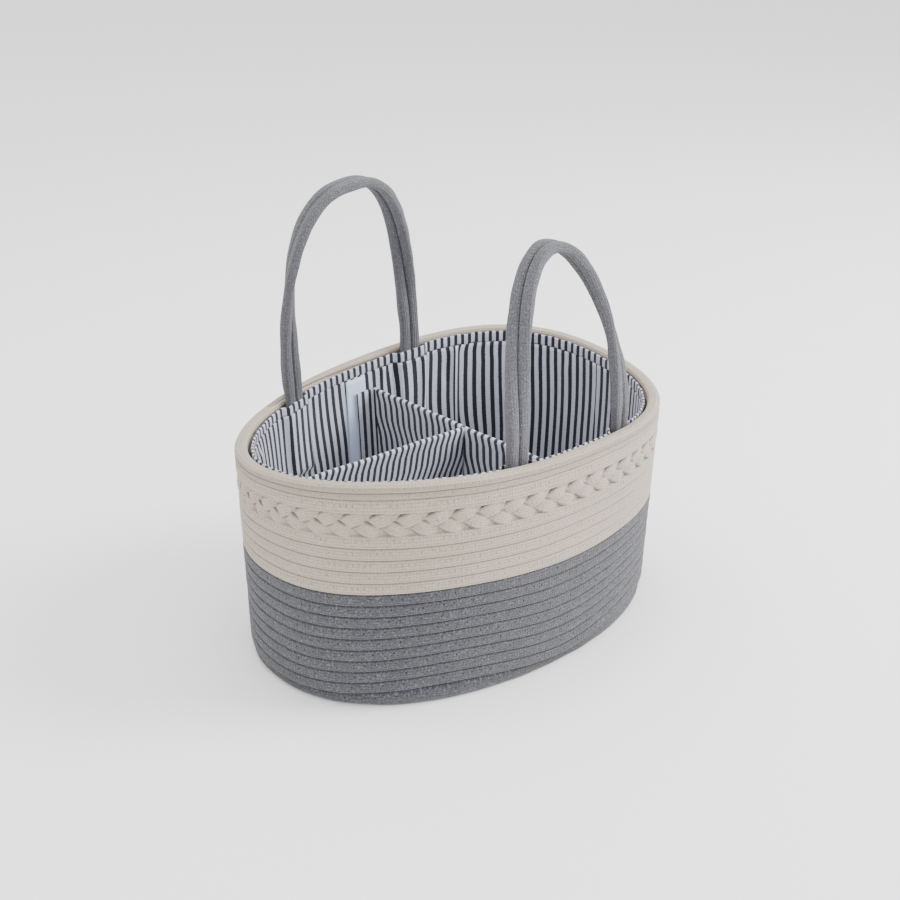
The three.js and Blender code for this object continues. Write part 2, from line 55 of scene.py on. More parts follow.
camera = {
    "azimuth": -42.019, "elevation": 25.393, "roll": 0.611, "distance": 1.1096,
    "target": (0.0011, 0.0, 0.09), "focalPixels": 1373.7, "pixels": 900,
    "centreX": 455.54, "centreY": 507.36, "sensor": 36.0,
}


def placeCamera(c):
    azimuth, elevation, roll = (math.radians(c[k]) for k in ("azimuth", "elevation", "roll"))
    back = Vector((math.sin(azimuth) * math.cos(elevation),
                   -math.cos(azimuth) * math.cos(elevation), math.sin(elevation)))
    right = (-back).cross(Vector((0, 0, 1))).normalized()
    top = right.cross(-back)
    turnedRight = right * math.cos(roll) + top * math.sin(roll)
    turnedTop = top * math.cos(roll) - right * math.sin(roll)
    data = bpy.data.cameras.new("photo_camera")
    data.sensor_width = c["sensor"]
    data.lens = c["sensor"] * c["focalPixels"] / c["pixels"]
    data.shift_x = (c["pixels"] / 2 - c["centreX"]) / c["pixels"]
    data.shift_y = (c["centreY"] - c["pixels"] / 2) / c["pixels"]
    data.clip_start, data.clip_end = 0.05, 60.0
    eye = bpy.data.objects.new("photo_camera", data)
    axes = Matrix((turnedRight, turnedTop, back)).transposed().to_4x4()
    eye.matrix_world = Matrix.Translation(Vector(c["target"]) + back * c["distance"]) @ axes
    bpy.context.scene.collection.objects.link(eye)
    bpy.context.scene.camera = eye


placeCamera(camera)
print("camera placed")

# The oval wall, the same formula as the CAD model.

wall = {
    "baseLength": 0.359, "baseWidth": 0.2425, "rimLength": 0.354, "rimWidth": 0.2663,
    "baseRoundness": 2.215, "rimRoundness": 2.274, "height": 0.180,
    "rimShift": -0.0025, "rimTilt": 0.0072, "rimTwist": 0.0074, "rimDip": 0.0011,
    "rimWave": 0.002, "rimWaveStart": 0.57, "middleX": 0.0008113, "middleY": 0.0001305,
}
rope = {"pitch": 0.00925, "depth": 0.0099, "greyRows": 10, "creamRows": 5, "climbSides": 5,
        "sides": 24, "seamSide": 9, "bottomRow": 0.0116, "bottomTuck": 0.002, "underBraid": 0.008,
        "overBraid": 0.00875, "squeezedRow": 0.0044, "rimRow": 0.006, "overlapUnder": 0.0022,
        "overlapOver": 0.0022}
rowWave = {"height": 0.0046, "rise": 0.45, "fall": 2.6, "start": 0.63, "perTurn": 4}
bandHeight = 0.021
liningOuter = 0.0122   # inset of the lining's outer face from the outside of the rope
clothThick = 0.0015
liningInner = liningOuter + clothThick
hemTop, hemBottom = 0.178, 0.170
greyTop = rope["bottomRow"] + (rope["greyRows"] - 1) * rope["pitch"]
braidBottom = greyTop + (rope["creamRows"] - 1) * rope["pitch"] + rope["underBraid"]
braidTop = braidBottom + bandHeight


def mix(a, b, share):
    return a + (b - a) * share


def smooth(x):
    x = np.clip(x, 0.0, 1.0)
    return x * x * (3 - 2 * x)


# 1 between two places, and fading out towards them.
def between(x, low, high, fadeIn, fadeOut):
    return smooth((x - low) / fadeIn) * smooth((high - x) / fadeOut)


def unit(v):
    return v / np.linalg.norm(v, axis=-1, keepdims=True)


def waveAt(angle, start):
    return np.cos(rowWave["perTurn"] * (angle - start * tau))


# Places on the wall and its outward direction there.
def onWall(angle, level, inset=0.0):
    angle, level, inset = np.broadcast_arrays(*(np.asarray(x, float) for x in (angle, level, inset)))
    share = level / wall["height"]
    a = mix(wall["baseLength"], wall["rimLength"], share) / 2
    b = mix(wall["baseWidth"], wall["rimWidth"], share) / 2
    power = mix(wall["baseRoundness"], wall["rimRoundness"], share)
    c, s = np.cos(angle), np.sin(angle)
    radius = (np.abs(c / a) ** power + np.abs(s / b) ** power) ** (-1 / power)
    outX = np.sign(c) * np.abs(radius * c / a) ** (power - 1) / a
    outY = np.sign(s) * np.abs(radius * s / b) ** (power - 1) / b
    outward = unit(np.stack([outX, outY, np.zeros_like(outX)], -1))
    rise = (wall["rimTilt"] * c + wall["rimTwist"] * np.sin(2 * angle)
            - wall["rimDip"] * np.cos(2 * angle)
            + wall["rimWave"] * waveAt(angle, wall["rimWaveStart"]))
    x = radius * c + wall["rimShift"] * share + wall["middleX"]
    point = np.stack([x, radius * s + wall["middleY"], level + rise * share ** 2], -1)
    return point - outward * inset[..., None], outward


# The same on the rope rows, which run up and down a little on their way round.
def onRow(angle, level, inset=0.0):
    point, outward = onWall(angle, level, inset)
    share = np.clip(level / wall["height"], 0, 1)
    peak = rowWave["rise"] / (rowWave["rise"] + rowWave["fall"])
    size = (share / peak) ** rowWave["rise"] * ((1 - share) / (1 - peak)) ** rowWave["fall"]
    lift = rowWave["height"] * waveAt(angle, rowWave["start"]) * size
    return point + up * np.asarray(lift)[..., None], outward


# The angle between low and high where the wall passes a place along X or Y.
def angleAt(place, axis, low, high, level, inset):
    place, level = np.broadcast_arrays(np.asarray(place, float), np.asarray(level, float))
    low = np.full(place.shape, float(low))
    high = np.full(place.shape, float(high))
    for _ in range(40):
        middle = (low + high) / 2
        beyond = onWall(middle, level, inset)[0][..., axis] > place
        low = np.where(beyond, middle, low)
        high = np.where(beyond, high, middle)
    return (low + high) / 2


# An uneven wave, the same in each run, of parts whose rates are drawn one by one.
def unevenWave(x, seed, parts, drawRate):
    draw = np.random.RandomState(seed)
    total = sum(np.sin(drawRate(draw) * x + draw.uniform(0, tau)) for _ in range(parts))
    return total / math.sqrt(parts)


def waver(length, seed, wavelength, amount):
    return amount * unevenWave(length, seed, 6, lambda d: tau / (wavelength * d.uniform(0.6, 2.2)))


# The same round a closed turn, with whole numbers of waves.
def waverRound(angle, seed, lowest, highest, amount):
    return amount * unevenWave(angle, seed, 7, lambda d: d.randint(lowest, highest + 1))


# Meshes.

def addMesh(name, points, faces, uvs=None):
    mesh = bpy.data.meshes.new(name)
    mesh.from_pydata(np.asarray(points, float).tolist(), [], [list(map(int, f)) for f in faces])
    if uvs is not None:
        layer = mesh.uv_layers.new(name="clothUv")
        layer.data.foreach_set("uv", np.asarray(uvs, np.float32).ravel())
    mesh.polygons.foreach_set("use_smooth", [True] * len(mesh.polygons))
    mesh.validate()
    mesh.update()
    piece = bpy.data.objects.new(name, mesh)
    bpy.context.scene.collection.objects.link(piece)
    return piece


# A closed body through rings of points, with the length and the girth as its UV map. The
# length is one value per ring, or one per ring and side.
def sweep(name, rings, along, around, closed=False):
    count, size = rings.shape[:2]
    points = rings.reshape(-1, 3)
    spans = count if closed else count - 1
    ring, side = np.meshgrid(np.arange(spans), np.arange(size), indexing="ij")
    nextRing, nextSide = (ring + 1) % count, (side + 1) % size
    quads = np.stack([ring * size + side, ring * size + nextSide,
                      nextRing * size + nextSide, nextRing * size + side], -1).reshape(-1, 4)
    u = np.repeat(along[:, None], size + 1, 1) if along.ndim == 1 else along
    corners = [(ring, side), (ring, side + 1), (ring + 1, side + 1), (ring + 1, side)]
    uvs = np.stack([np.stack([u[at], around[at[1]]], -1) for at in corners], 2).reshape(-1, 2)
    faces = quads.tolist()
    uvs = uvs.tolist()
    if not closed:
        for end, order in ((0, range(size - 1, -1, -1)), (count - 1, range(size))):
            faces.append([end * size + i for i in order])
            uvs += [[u[end, i], around[i]] for i in order]
    corners = points[quads]
    volume = np.einsum("ij,ij->i", corners[:, 0], np.cross(corners[:, 1], corners[:, 2])).sum()
    volume += np.einsum("ij,ij->i", corners[:, 0], np.cross(corners[:, 2], corners[:, 3])).sum()
    piece = addMesh(name, points, faces, uvs)
    if volume < 0:
        piece.data.flip_normals()
    return piece


# Distance run along a row of points, with one more value where it closes.
def lengths(points, closed=False):
    ends = np.vstack([points, points[:1]]) if closed else points
    steps = np.linalg.norm(np.diff(ends, axis=0), axis=1)
    return np.concatenate([[0.0], np.cumsum(steps)])


# A softened rope section, as places across and along, and the distance round it.
def ropeOutline(halfAcross, halfAlong, power, size):
    turn = np.arange(size + 1) * tau / size
    c, s = np.cos(turn), np.sin(turn)
    outline = np.stack([halfAcross * np.sign(c) * np.abs(c) ** (2 / power),
                        halfAlong * np.sign(s) * np.abs(s) ** (2 / power)], -1)
    girth = np.concatenate([[0.0], np.cumsum(np.linalg.norm(np.diff(outline, axis=0), axis=1))])
    return outline[:size], girth


def finishPiece(piece, body, slot, material, *replaced):
    piece.data.materials.append(material)
    if body:
        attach(piece, body)
    if replaced:
        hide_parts(*replaced)
    return piece


# Shader node helpers.

def plug(tree, socket, source):
    if isinstance(source, bpy.types.NodeSocket):
        tree.links.new(source, socket)
    elif source is not None:
        socket.default_value = source


# Fills in the sockets of a node and gives back one of its outputs.
def fill(tree, node, sockets, output=0):
    for name, source in sockets.items():
        plug(tree, node.inputs[name], source)
    return node.outputs[output]


def doMath(tree, operation, *sources):
    node = tree.nodes.new("ShaderNodeMath")
    node.operation = operation
    return fill(tree, node, dict(enumerate(sources)))


def plus(tree, a, b):
    return doMath(tree, "ADD", a, b)


def minus(tree, a, b):
    return doMath(tree, "SUBTRACT", a, b)


def times(tree, a, b):
    return doMath(tree, "MULTIPLY", a, b)


def over(tree, a, b):
    return doMath(tree, "DIVIDE", a, b)


def timesPlus(tree, a, b, c):
    return doMath(tree, "MULTIPLY_ADD", a, b, c)


# 0 at low and 1 at high, smooth between them.
def ramp(tree, value, low, high):
    node = tree.nodes.new("ShaderNodeMapRange")
    node.interpolation_type = "SMOOTHSTEP"
    return fill(tree, node, {"Value": value, "From Min": low, "From Max": high}, "Result")


def blendColour(tree, share, a, b, kind="MIX"):
    node = tree.nodes.new("ShaderNodeMix")
    node.data_type, node.blend_type = "RGBA", kind
    return fill(tree, node, {"Factor": share, "A": a, "B": b}, "Result")


def noise(tree, vector, scale, detail=2.0, roughness=0.5):
    sockets = {"Vector": vector, "Scale": scale, "Detail": detail, "Roughness": roughness}
    return fill(tree, tree.nodes.new("ShaderNodeTexNoise"), sockets, "Fac")


def join(tree, x, y, z=0.0):
    return fill(tree, tree.nodes.new("ShaderNodeCombineXYZ"), {"X": x, "Y": y, "Z": z})


# A socket without a value of its own takes a colour.
def startGroup(name, inputs, *outputs):
    tree = bpy.data.node_groups.new(name, "ShaderNodeTree")
    for socket, value in inputs.items():
        kind = "NodeSocketColor" if value is None else "NodeSocketFloat"
        made = tree.interface.new_socket(name=socket, in_out="INPUT", socket_type=kind)
        if value is not None:
            made.default_value = value
    for socket in outputs:
        kind = "NodeSocketColor" if socket == "Color" else "NodeSocketFloat"
        tree.interface.new_socket(name=socket, in_out="OUTPUT", socket_type=kind)
    return tree, tree.nodes.new("NodeGroupInput").outputs, tree.nodes.new("NodeGroupOutput").inputs


# The sockets of a group take what the look says under their names.
def useGroup(tree, group, look, **values):
    node = tree.nodes.new("ShaderNodeGroup")
    node.node_tree = group
    for socket in node.inputs:
        plug(tree, socket, values.get(socket.name, look.get(socket.name)))
    return node.outputs


# Columns of small V-shaped stitches that run along a rope.
def makeKnit():
    tree, given, out = startGroup("cotton knit", {
        "along": 0.0, "around": 0.0, "column": 0.0021, "stitch": 0.0024}, "Height")
    column = over(tree, given["around"], given["column"])
    middle = minus(tree, doMath(tree, "FRACT", column), 0.5)
    side = times(tree, doMath(tree, "ABSOLUTE", middle), 2.0)
    course = over(tree, given["along"], given["stitch"])
    slanted = plus(tree, course, times(tree, side, 0.55))
    yarn = doMath(tree, "SINE", times(tree, doMath(tree, "FRACT", slanted), math.pi))
    body = minus(tree, 1.0, doMath(tree, "POWER", side, 3.0))
    lifted = times(tree, yarn, body)
    plug(tree, out["Height"], timesPlus(tree, lifted, 0.7, times(tree, body, 0.3)))
    return tree


# Short light and dark fibres over a base colour.
def makeFlecks():
    tree, given, out = startGroup("fibre flecks", {
        "along": 0.0, "around": 0.0, "fleckLength": 0.002, "fleckWidth": 0.0007, "base": None,
        "dark": None, "light": None, "darkShare": 0.4, "lightShare": 0.4}, "Color", "Fibre")
    u = over(tree, given["along"], given["fleckLength"])
    v = over(tree, given["around"], given["fleckWidth"])
    first = noise(tree, join(tree, u, v, 0.0), 1.0, 1.5, 0.6)
    second = noise(tree, join(tree, u, v, 7.3), 1.0, 1.5, 0.6)
    dark = times(tree, ramp(tree, first, 0.5, 0.68), given["darkShare"])
    light = times(tree, ramp(tree, second, 0.52, 0.7), given["lightShare"])
    shaded = blendColour(tree, dark, given["base"], given["dark"])
    plug(tree, out["Color"], blendColour(tree, light, shaded, given["light"]))
    plug(tree, out["Fibre"], minus(tree, second, first))
    return tree


# A line of short stitches along a rope, each a little different.
def makeSewing():
    tree, given, out = startGroup("sewn stitches", {
        "along": 0.0, "around": 0.0, "sewnLine": 0.0014, "sewnPitch": 0.0073, "sewnLength": 0.0013,
        "sewnWidth": 0.0014, "sewnUneven": 0.0022}, "Mask")
    place = over(tree, given["along"], given["sewnPitch"])
    each = doMath(tree, "FLOOR", place)
    chance = noise(tree, join(tree, times(tree, each, 3.71), 0.5), 1.0, 0.0)
    aside = minus(tree, doMath(tree, "FRACT", place), 0.5)
    length = over(tree, times(tree, aside, given["sewnPitch"]), given["sewnLength"])
    shift = times(tree, minus(tree, chance, 0.5), given["sewnUneven"])
    level = minus(tree, plus(tree, given["around"], shift), given["sewnLine"])
    width = over(tree, level, given["sewnWidth"])
    squares = plus(tree, times(tree, length, length), times(tree, width, width))
    spot = ramp(tree, doMath(tree, "SQRT", squares), 0.62, 0.30)
    plug(tree, out["Mask"], times(tree, spot, ramp(tree, chance, 0.30, 0.62)))
    return tree


# Even woven stripes with slightly uneven edges.
def makeStripes():
    tree, given, out = startGroup("woven stripes", {
        "along": 0.0, "across": 0.0, "period": 0.0085, "darkShare": 0.5, "shift": 0.0, "skew": 0.0,
        "uneven": 0.0007, "pale": None, "dark": None}, "Color")
    u = times(tree, given["along"], 900.0)
    v = times(tree, given["across"], 900.0)
    uneven = minus(tree, noise(tree, join(tree, u, v), 1.0, 2.0), 0.5)
    place = timesPlus(tree, uneven, given["uneven"], given["along"])
    place = plus(tree, place, given["shift"])
    place = timesPlus(tree, given["across"], given["skew"], place)
    wave = doMath(tree, "PINGPONG", over(tree, place, given["period"]), 0.5)
    half = times(tree, given["darkShare"], 0.5)
    mask = ramp(tree, wave, plus(tree, half, 0.025), minus(tree, half, 0.025))
    plug(tree, out["Color"], blendColour(tree, mask, given["pale"], given["dark"]))
    return tree


# A plain weave of fine threads.
def makeWeave():
    tree, given, out = startGroup("plain weave", {
        "along": 0.0, "across": 0.0, "thread": 0.0005}, "Height")
    turn = over(tree, math.pi, given["thread"])
    warp = doMath(tree, "SINE", times(tree, given["along"], turn))
    weft = doMath(tree, "SINE", times(tree, given["across"], turn))
    plug(tree, out["Height"], timesPlus(tree, times(tree, warp, weft), 0.5, 0.5))
    return tree


# Broad, faint patches where cloth has been handled or faded.
def makeCloud():
    tree, given, out = startGroup("faded patches", {"patch": 0.05, "patchAmount": 0.1}, "Value")
    place = tree.nodes.new("ShaderNodeTexCoord").outputs["Object"]
    value = noise(tree, place, over(tree, 1.0, given["patch"]), 3.0, 0.55)
    swing = times(tree, minus(tree, value, 0.5), 2.0)
    plug(tree, out["Value"], timesPlus(tree, swing, given["patchAmount"], 1.0))
    return tree


knit, flecks, sewing = makeKnit(), makeFlecks(), makeSewing()
stripes, weave, cloud = makeStripes(), makeWeave(), makeCloud()


def newMaterial(name, roughness):
    material = bpy.data.materials.new(name)
    material.use_nodes = True
    shader = material.node_tree.nodes["Principled BSDF"]
    shader.inputs["Roughness"].default_value = roughness
    return material, material.node_tree, shader


def startMaterial(name, look):
    material, tree, shader = newMaterial(name, look["roughness"])
    shader.inputs["Sheen Weight"].default_value = look["sheen"]
    shader.inputs["Sheen Roughness"].default_value = 0.6
    shader.inputs["Specular IOR Level"].default_value = 0.25
    uv = tree.nodes.new("ShaderNodeUVMap")
    uv.uv_map = "clothUv"
    parts = tree.nodes.new("ShaderNodeSeparateXYZ")
    tree.links.new(uv.outputs[0], parts.inputs[0])
    return material, tree, shader, parts.outputs["X"], parts.outputs["Y"]


def raiseSurface(tree, shader, height, distance):
    sockets = {"Distance": distance, "Strength": 1.0, "Height": height}
    bumped = fill(tree, tree.nodes.new("ShaderNodeBump"), sockets, "Normal")
    tree.links.new(bumped, shader.inputs["Normal"])


def timesValue(tree, colour, value):
    node = tree.nodes.new("ShaderNodeCombineColor")
    grey = fill(tree, node, {0: value, 1: value, 2: value})
    return blendColour(tree, 1.0, colour, grey, "MULTIPLY")


def ropeMaterial(name, look):
    material, tree, shader, along, around = startMaterial(name, look)
    place = {"along": along, "around": around}
    colour = useGroup(tree, flecks, look, **place)
    stitches = useGroup(tree, knit, look, **place)["Height"]
    sewn = useGroup(tree, sewing, look, **place)["Mask"]
    pores = timesPlus(tree, stitches, look["poreShade"], 1.0 - look["poreShade"])
    tone = times(tree, pores, useGroup(tree, cloud, look)["Value"])
    tone = times(tree, tone, timesPlus(tree, sewn, -look["sewnShade"], 1.0))
    # Painted shade: the colour darkens towards the sides of each rope's section, standing in for the
    # shade that falls in the creases where strands press together.
    if look["paintedCreaseShade"]:
        beside = ramp(tree, doMath(tree, "ABSOLUTE", around), *look["crease"])
        tone = times(tree, tone, timesPlus(tree, beside, -look["paintedCreaseShade"], 1.0))
    plug(tree, shader.inputs["Base Color"], timesValue(tree, colour["Color"], tone))
    height = timesPlus(tree, colour["Fibre"], look["fibreHeight"], stitches)
    raiseSurface(tree, shader, timesPlus(tree, sewn, -look["sewnDepth"], height), look["bump"])
    return material


def stripeMaterial(name, **changes):
    look = dict(stripeLook, **changes)
    material, tree, shader, along, across = startMaterial(name, look)
    striped = useGroup(tree, stripes, look, along=along, across=across)["Color"]
    threads = useGroup(tree, weave, look, along=along, across=across)["Height"]
    shade = timesPlus(tree, threads, look["threadShade"], look["threadBase"])
    tone = times(tree, shade, useGroup(tree, cloud, look)["Value"])
    plug(tree, shader.inputs["Base Color"], timesValue(tree, striped, tone))
    raiseSurface(tree, shader, threads, look["bump"])
    return material


creamLook = {
    "base": (0.465, 0.395, 0.32, 1), "dark": (0.27, 0.22, 0.17, 1), "light": (0.56, 0.50, 0.43, 1),
    "darkShare": 0.45, "lightShare": 0.5, "fleckLength": 0.0017, "fleckWidth": 0.0014,
    "column": 0.0021, "stitch": 0.0024, "poreShade": 0.26, "patch": 0.035, "patchAmount": 0.05,
    "roughness": 0.95, "sheen": 0.15, "fibreHeight": 0.5, "bump": 0.0005,
    # paintedCreaseShade and crease set the painted shade on the sides of the section, between two
    # girths; the plain rows have none.
    "sewnPitch": 0.0042, "sewnShade": 0.22, "sewnDepth": 1.5, "paintedCreaseShade": 0.0,
    "crease": (0.0037, 0.0057),
}
greyLook = dict(creamLook, **{
    "base": (0.078, 0.078, 0.089, 1), "dark": (0.022, 0.022, 0.028, 1),
    "light": (0.25, 0.25, 0.27, 1), "darkShare": 0.75, "lightShare": 0.45, "fleckLength": 0.0015,
    "fleckWidth": 0.0013, "poreShade": 0.15, "patchAmount": 0.06, "sewnPitch": 0.0073,
    "sewnShade": 0.95,
})
handleLook = dict(greyLook, **{
    "base": (0.115, 0.115, 0.130, 1), "light": (0.30, 0.30, 0.335, 1), "sewnShade": 0.0,
    "fleckLength": 0.0012, "fleckWidth": 0.0009,
})
creamRope = ropeMaterial("cream cotton rope", creamLook)
# The braid's strands get painted shade along their sides, darker where they meet in the creases.
braidLook = dict(creamLook, paintedCreaseShade=0.6, sewnShade=0.0, poreShade=0.14)
braidRope = ropeMaterial("cream braided rope", braidLook)
greyRope = ropeMaterial("grey heathered rope", greyLook)
handleRope = ropeMaterial("grey handle rope", handleLook)

stripeLook = {
    "period": 0.0071, "shift": 0.0, "skew": 0.0, "darkShare": 0.48, "pale": (0.56, 0.57, 0.66, 1),
    "dark": (0.010, 0.011, 0.024, 1), "thread": 0.00045, "threadShade": 0.12, "threadBase": 0.9,
    "patch": 0.04, "patchAmount": 0.07, "roughness": 0.9, "sheen": 0.15, "bump": 0.00018,
}
stripedCloth = stripeMaterial("striped lining cloth")
hemCloth = stripeMaterial("striped hem", period=0.0062, shift=0.0035)
crossCloth = stripeMaterial("striped cross panel cloth", period=0.0074, skew=-0.22)
stemCloth = stripeMaterial("striped stem panel cloth", period=0.0060, skew=-0.33)


def tapeMaterial(name, look):
    material, tree, shader, along, across = startMaterial(name, look)
    grain = join(tree, over(tree, along, look["grain"]), over(tree, across, look["grain"]))
    fuzz = noise(tree, grain, 1.0, 4.0, 0.7)
    colour = blendColour(tree, ramp(tree, fuzz, 0.35, 0.65), look["dark"], look["base"])
    patches = useGroup(tree, cloud, look)["Value"]
    plug(tree, shader.inputs["Base Color"], timesValue(tree, colour, patches))
    raiseSurface(tree, shader, fuzz, look["bump"])
    return material


loopLook = {"base": (0.70, 0.79, 1.0, 1), "dark": (0.56, 0.65, 0.88, 1), "grain": 0.0006,
            "bump": 0.0005, "patch": 0.02, "patchAmount": 0.06, "roughness": 0.85, "sheen": 0.3}
hookLook = dict(loopLook, base=(0.62, 0.66, 0.76, 1), dark=(0.36, 0.40, 0.52, 1), grain=0.0011,
                bump=0.0006)
loopTape = tapeMaterial("loop tape", loopLook)
hookTape = tapeMaterial("hook tape", hookLook)


# Brown board with a faint mottle, seen only through the open bottom of the covers.
def boardMaterial():
    material, tree, shader = newMaterial("stiff board", 0.8)
    pulp = noise(tree, tree.nodes.new("ShaderNodeTexCoord").outputs["Object"], 700.0, 4.0, 0.6)
    colour = blendColour(tree, pulp, (0.36, 0.29, 0.20, 1), (0.60, 0.51, 0.38, 1))
    plug(tree, shader.inputs["Base Color"], colour)
    raiseSurface(tree, shader, pulp, 0.0002)
    return material


stiffBoard = boardMaterial()
print("materials made")

# Rope rows of the wall.

wallRope = {
    "stepsPerTurn": 240, "sectionSize": 28, "softPower": 2.4, "girth": 0.0045, "sway": 0.00016,
    "swayLength": 0.06, "swayPerTurn": 0.16, "leastDepth": 0.25, "startSide": 0.25, "endSide": 0.2,
}
greyRow = {"power": 4.6, "overlap": 0.00010, "softTop": False}
creamRow = {"power": 3.7, "overlap": 0.00045, "softTop": False}
rimRow = dict(creamRow, softTop=True)


def levelAt(levels, climbed):
    return np.interp(climbed, np.arange(len(levels)), levels)


# One rope wound row on row. Each turn climbs at the rear, as the CAD coil does.
def coil(name, levels, row, seed):
    s, sides, climbSides = wallRope, rope["sides"], rope["climbSides"]
    rows = len(levels) - 1
    fine = s["stepsPerTurn"] / sides
    first = math.ceil((s["startSide"] - climbSides) * fine)
    t = np.arange(first, int((rows * sides - s["endSide"]) * fine)) / fine
    turn = np.floor(t / sides)
    climbed = turn + np.maximum(0.0, (t - (turn + 1) * sides + climbSides) / climbSides)
    angle = (rope["seamSide"] + t) * tau / sides
    bottom = levelAt(levels, climbed)
    inset = rope["depth"] / 2 + waver(angle * s["swayPerTurn"], seed, s["swayLength"], s["sway"])
    lowest = np.clip(1 - bottom / rope["bottomRow"], 0, 1)
    low, outward = onRow(angle, bottom, inset + 2 * rope["bottomTuck"] * lowest)
    high, _ = onRow(angle, levelAt(levels, climbed + 1), inset)
    centre = (low + high) / 2
    half = (high[:, 2] - low[:, 2]) / 2 + row["overlap"]
    depth = rope["depth"] / 2 * np.minimum(1.0, mix(s["leastDepth"], 1, half / (rope["pitch"] / 4)))
    softness = np.maximum(lowest, smooth(climbed - rows + 2)) if row["softTop"] else lowest
    flat, girth = ropeOutline(1.0, 1.0, row["power"], s["sectionSize"])
    full, _ = ropeOutline(1.0, 1.0, s["softPower"], s["sectionSize"])
    outline = mix(flat[None], full[None], softness[:, None, None])
    outline = np.roll(outline, s["sectionSize"] // 2, axis=1)
    girth = (girth - girth[-1] / 2) * s["girth"]   # nought is on the middle of the outer face
    rings = (centre[:, None] + outward[:, None] * (outline[:, :, :1] * depth[:, None, None])
             + up * (outline[:, :, 1:] * half[:, None, None]))
    return sweep(name, rings, lengths(centre), girth)


def levelsFrom(bottom, heights):
    return bottom + np.concatenate([[0.0], np.cumsum(heights)])


greyLevels = levelsFrom(0.0, [rope["bottomRow"]] + [rope["pitch"]] * (rope["greyRows"] - 1))
underBraid = rope["underBraid"] + rope["overlapUnder"]   # the soft rows reach over the braid's edges
overBraid = rope["overBraid"] + rope["overlapOver"]
creamLevels = levelsFrom(greyTop, [rope["pitch"]] * (rope["creamRows"] - 1) + [underBraid])
rimLevels = levelsFrom(braidTop - rope["overlapOver"],
                       [overBraid, rope["squeezedRow"], rope["rimRow"]])
rows = (("grey_wall_rows", greyLevels, greyRow, 3, "grey_rope", greyRope, "grey_wall_rope"),
        ("cream_wall_rows", creamLevels, creamRow, 4, "cream_rope", creamRope, "cream_lower_rope"),
        ("cream_rim_rows", rimLevels, rimRow, 5, "cream_rope", creamRope, "cream_upper_rope"))
for name, levels, row, seed, slot, material, node in rows:
    finishPiece(coil(name, levels, row, seed), "basket", slot, material, node)
print("rope rows made")

# The braid.

braid = {"periods": 17, "start": 0.1, "stepsPerPeriod": 44, "sectionSize": 28, "inset": 0.0052,
         "sweepDepth": 0.0021, "halfDepth": 0.0034, "halfWidth": 0.0062, "halfRise": 0.0053,
         "power": 2.9, "backWidth": 0.28, "backDepth": 0.0007, "phase": 1 / 12,
         "swayUp": 0.0003, "swayOut": 0.0002, "swaysLeast": 9, "swaysMost": 30}


# Angles that are evenly spaced along the wall at one level.
def evenAngles(count, level, start):
    angle = np.linspace(0, tau, 3601)
    run = lengths(onWall(angle, level)[0])
    return np.interp((np.arange(count) + start) / count * run[-1], run, angle)


def braidStrand(strand):
    b = braid
    steps = b["periods"] * b["stepsPerPeriod"]
    middle = (braidBottom + braidTop) / 2
    angle = evenAngles(steps, middle, b["start"] * b["stepsPerPeriod"])
    swing = tau * (np.arange(steps) / b["stepsPerPeriod"] + b["phase"] + strand / 3)
    sways = b["swaysLeast"], b["swaysMost"]
    lift = b["halfRise"] * np.sin(swing) + waverRound(angle, 20 + strand, *sways, b["swayUp"])
    weave = np.sin(2 * swing)
    inset = b["inset"] - np.where(weave > 0, b["sweepDepth"], b["backDepth"]) * weave
    inset = inset + waverRound(angle, 30 + strand, *sways, b["swayOut"])
    centre, outward = onRow(angle, middle + lift, inset)
    along = unit(np.roll(centre, -1, 0) - np.roll(centre, 1, 0))
    rise = unit(np.cross(along, outward))
    across = unit(np.cross(rise, along))
    outline, girth = ropeOutline(b["halfDepth"], b["halfWidth"], b["power"], b["sectionSize"])
    outline = np.roll(outline, b["sectionSize"] // 2, axis=0)
    girth = girth - girth[-1] / 2
    width = 1 + b["backWidth"] * smooth(-weave)   # wider where it runs behind the others
    rings = (centre[:, None] + across[:, None] * outline[None, :, :1]
             + rise[:, None] * outline[None, :, 1:] * width[:, None, None])
    return sweep(f"braid_rope_{strand + 1}", rings, lengths(centre, True), girth, closed=True)


for strand in range(3):
    finishPiece(braidStrand(strand), "basket", "cream_rope", braidRope, f"braid_strand_{strand + 1}")
print("braid made")

# The base, a rope wound flat.

base = {"stepsPerTurn": 200, "sectionSize": 14, "firstInset": 0.0118, "halfHeight": 0.004275,
        "halfWidth": 0.00462, "power": 2.6, "pitch": 0.0091, "pointGap": 0.0006, "slimmer": 0.04,
        "laneShare": 0.6, "laneTurn": 40}


# A place on the base at an inset, which becomes a round-ended lane towards the middle.
def ovalPlace(angle, inset):
    a, b = wall["baseLength"] / 2, wall["baseWidth"] / 2
    p = wall["baseRoundness"]
    q = 1 / (p - 1)
    c, s = np.cos(angle), np.sin(angle)
    size = ((a * np.abs(c)) ** (p * q) + (b * np.abs(s)) ** (p * q)) ** (1 / p)
    oval = np.stack([np.sign(c) * a * (a * np.abs(c)) ** q / size,
                     np.sign(s) * b * (b * np.abs(s)) ** q / size], -1)
    oval -= np.stack([c, s], -1) * inset[:, None]
    along = np.clip(c * base["laneTurn"], -1, 1) * (a - b)
    lane = np.stack([along + (b - inset) * c, (b - inset) * s], -1)
    share = smooth(inset / (base["laneShare"] * b))[:, None]
    flat = mix(oval, lane, share) + [wall["middleX"], wall["middleY"]]
    return np.column_stack([flat, np.full(len(flat), base["halfHeight"])])


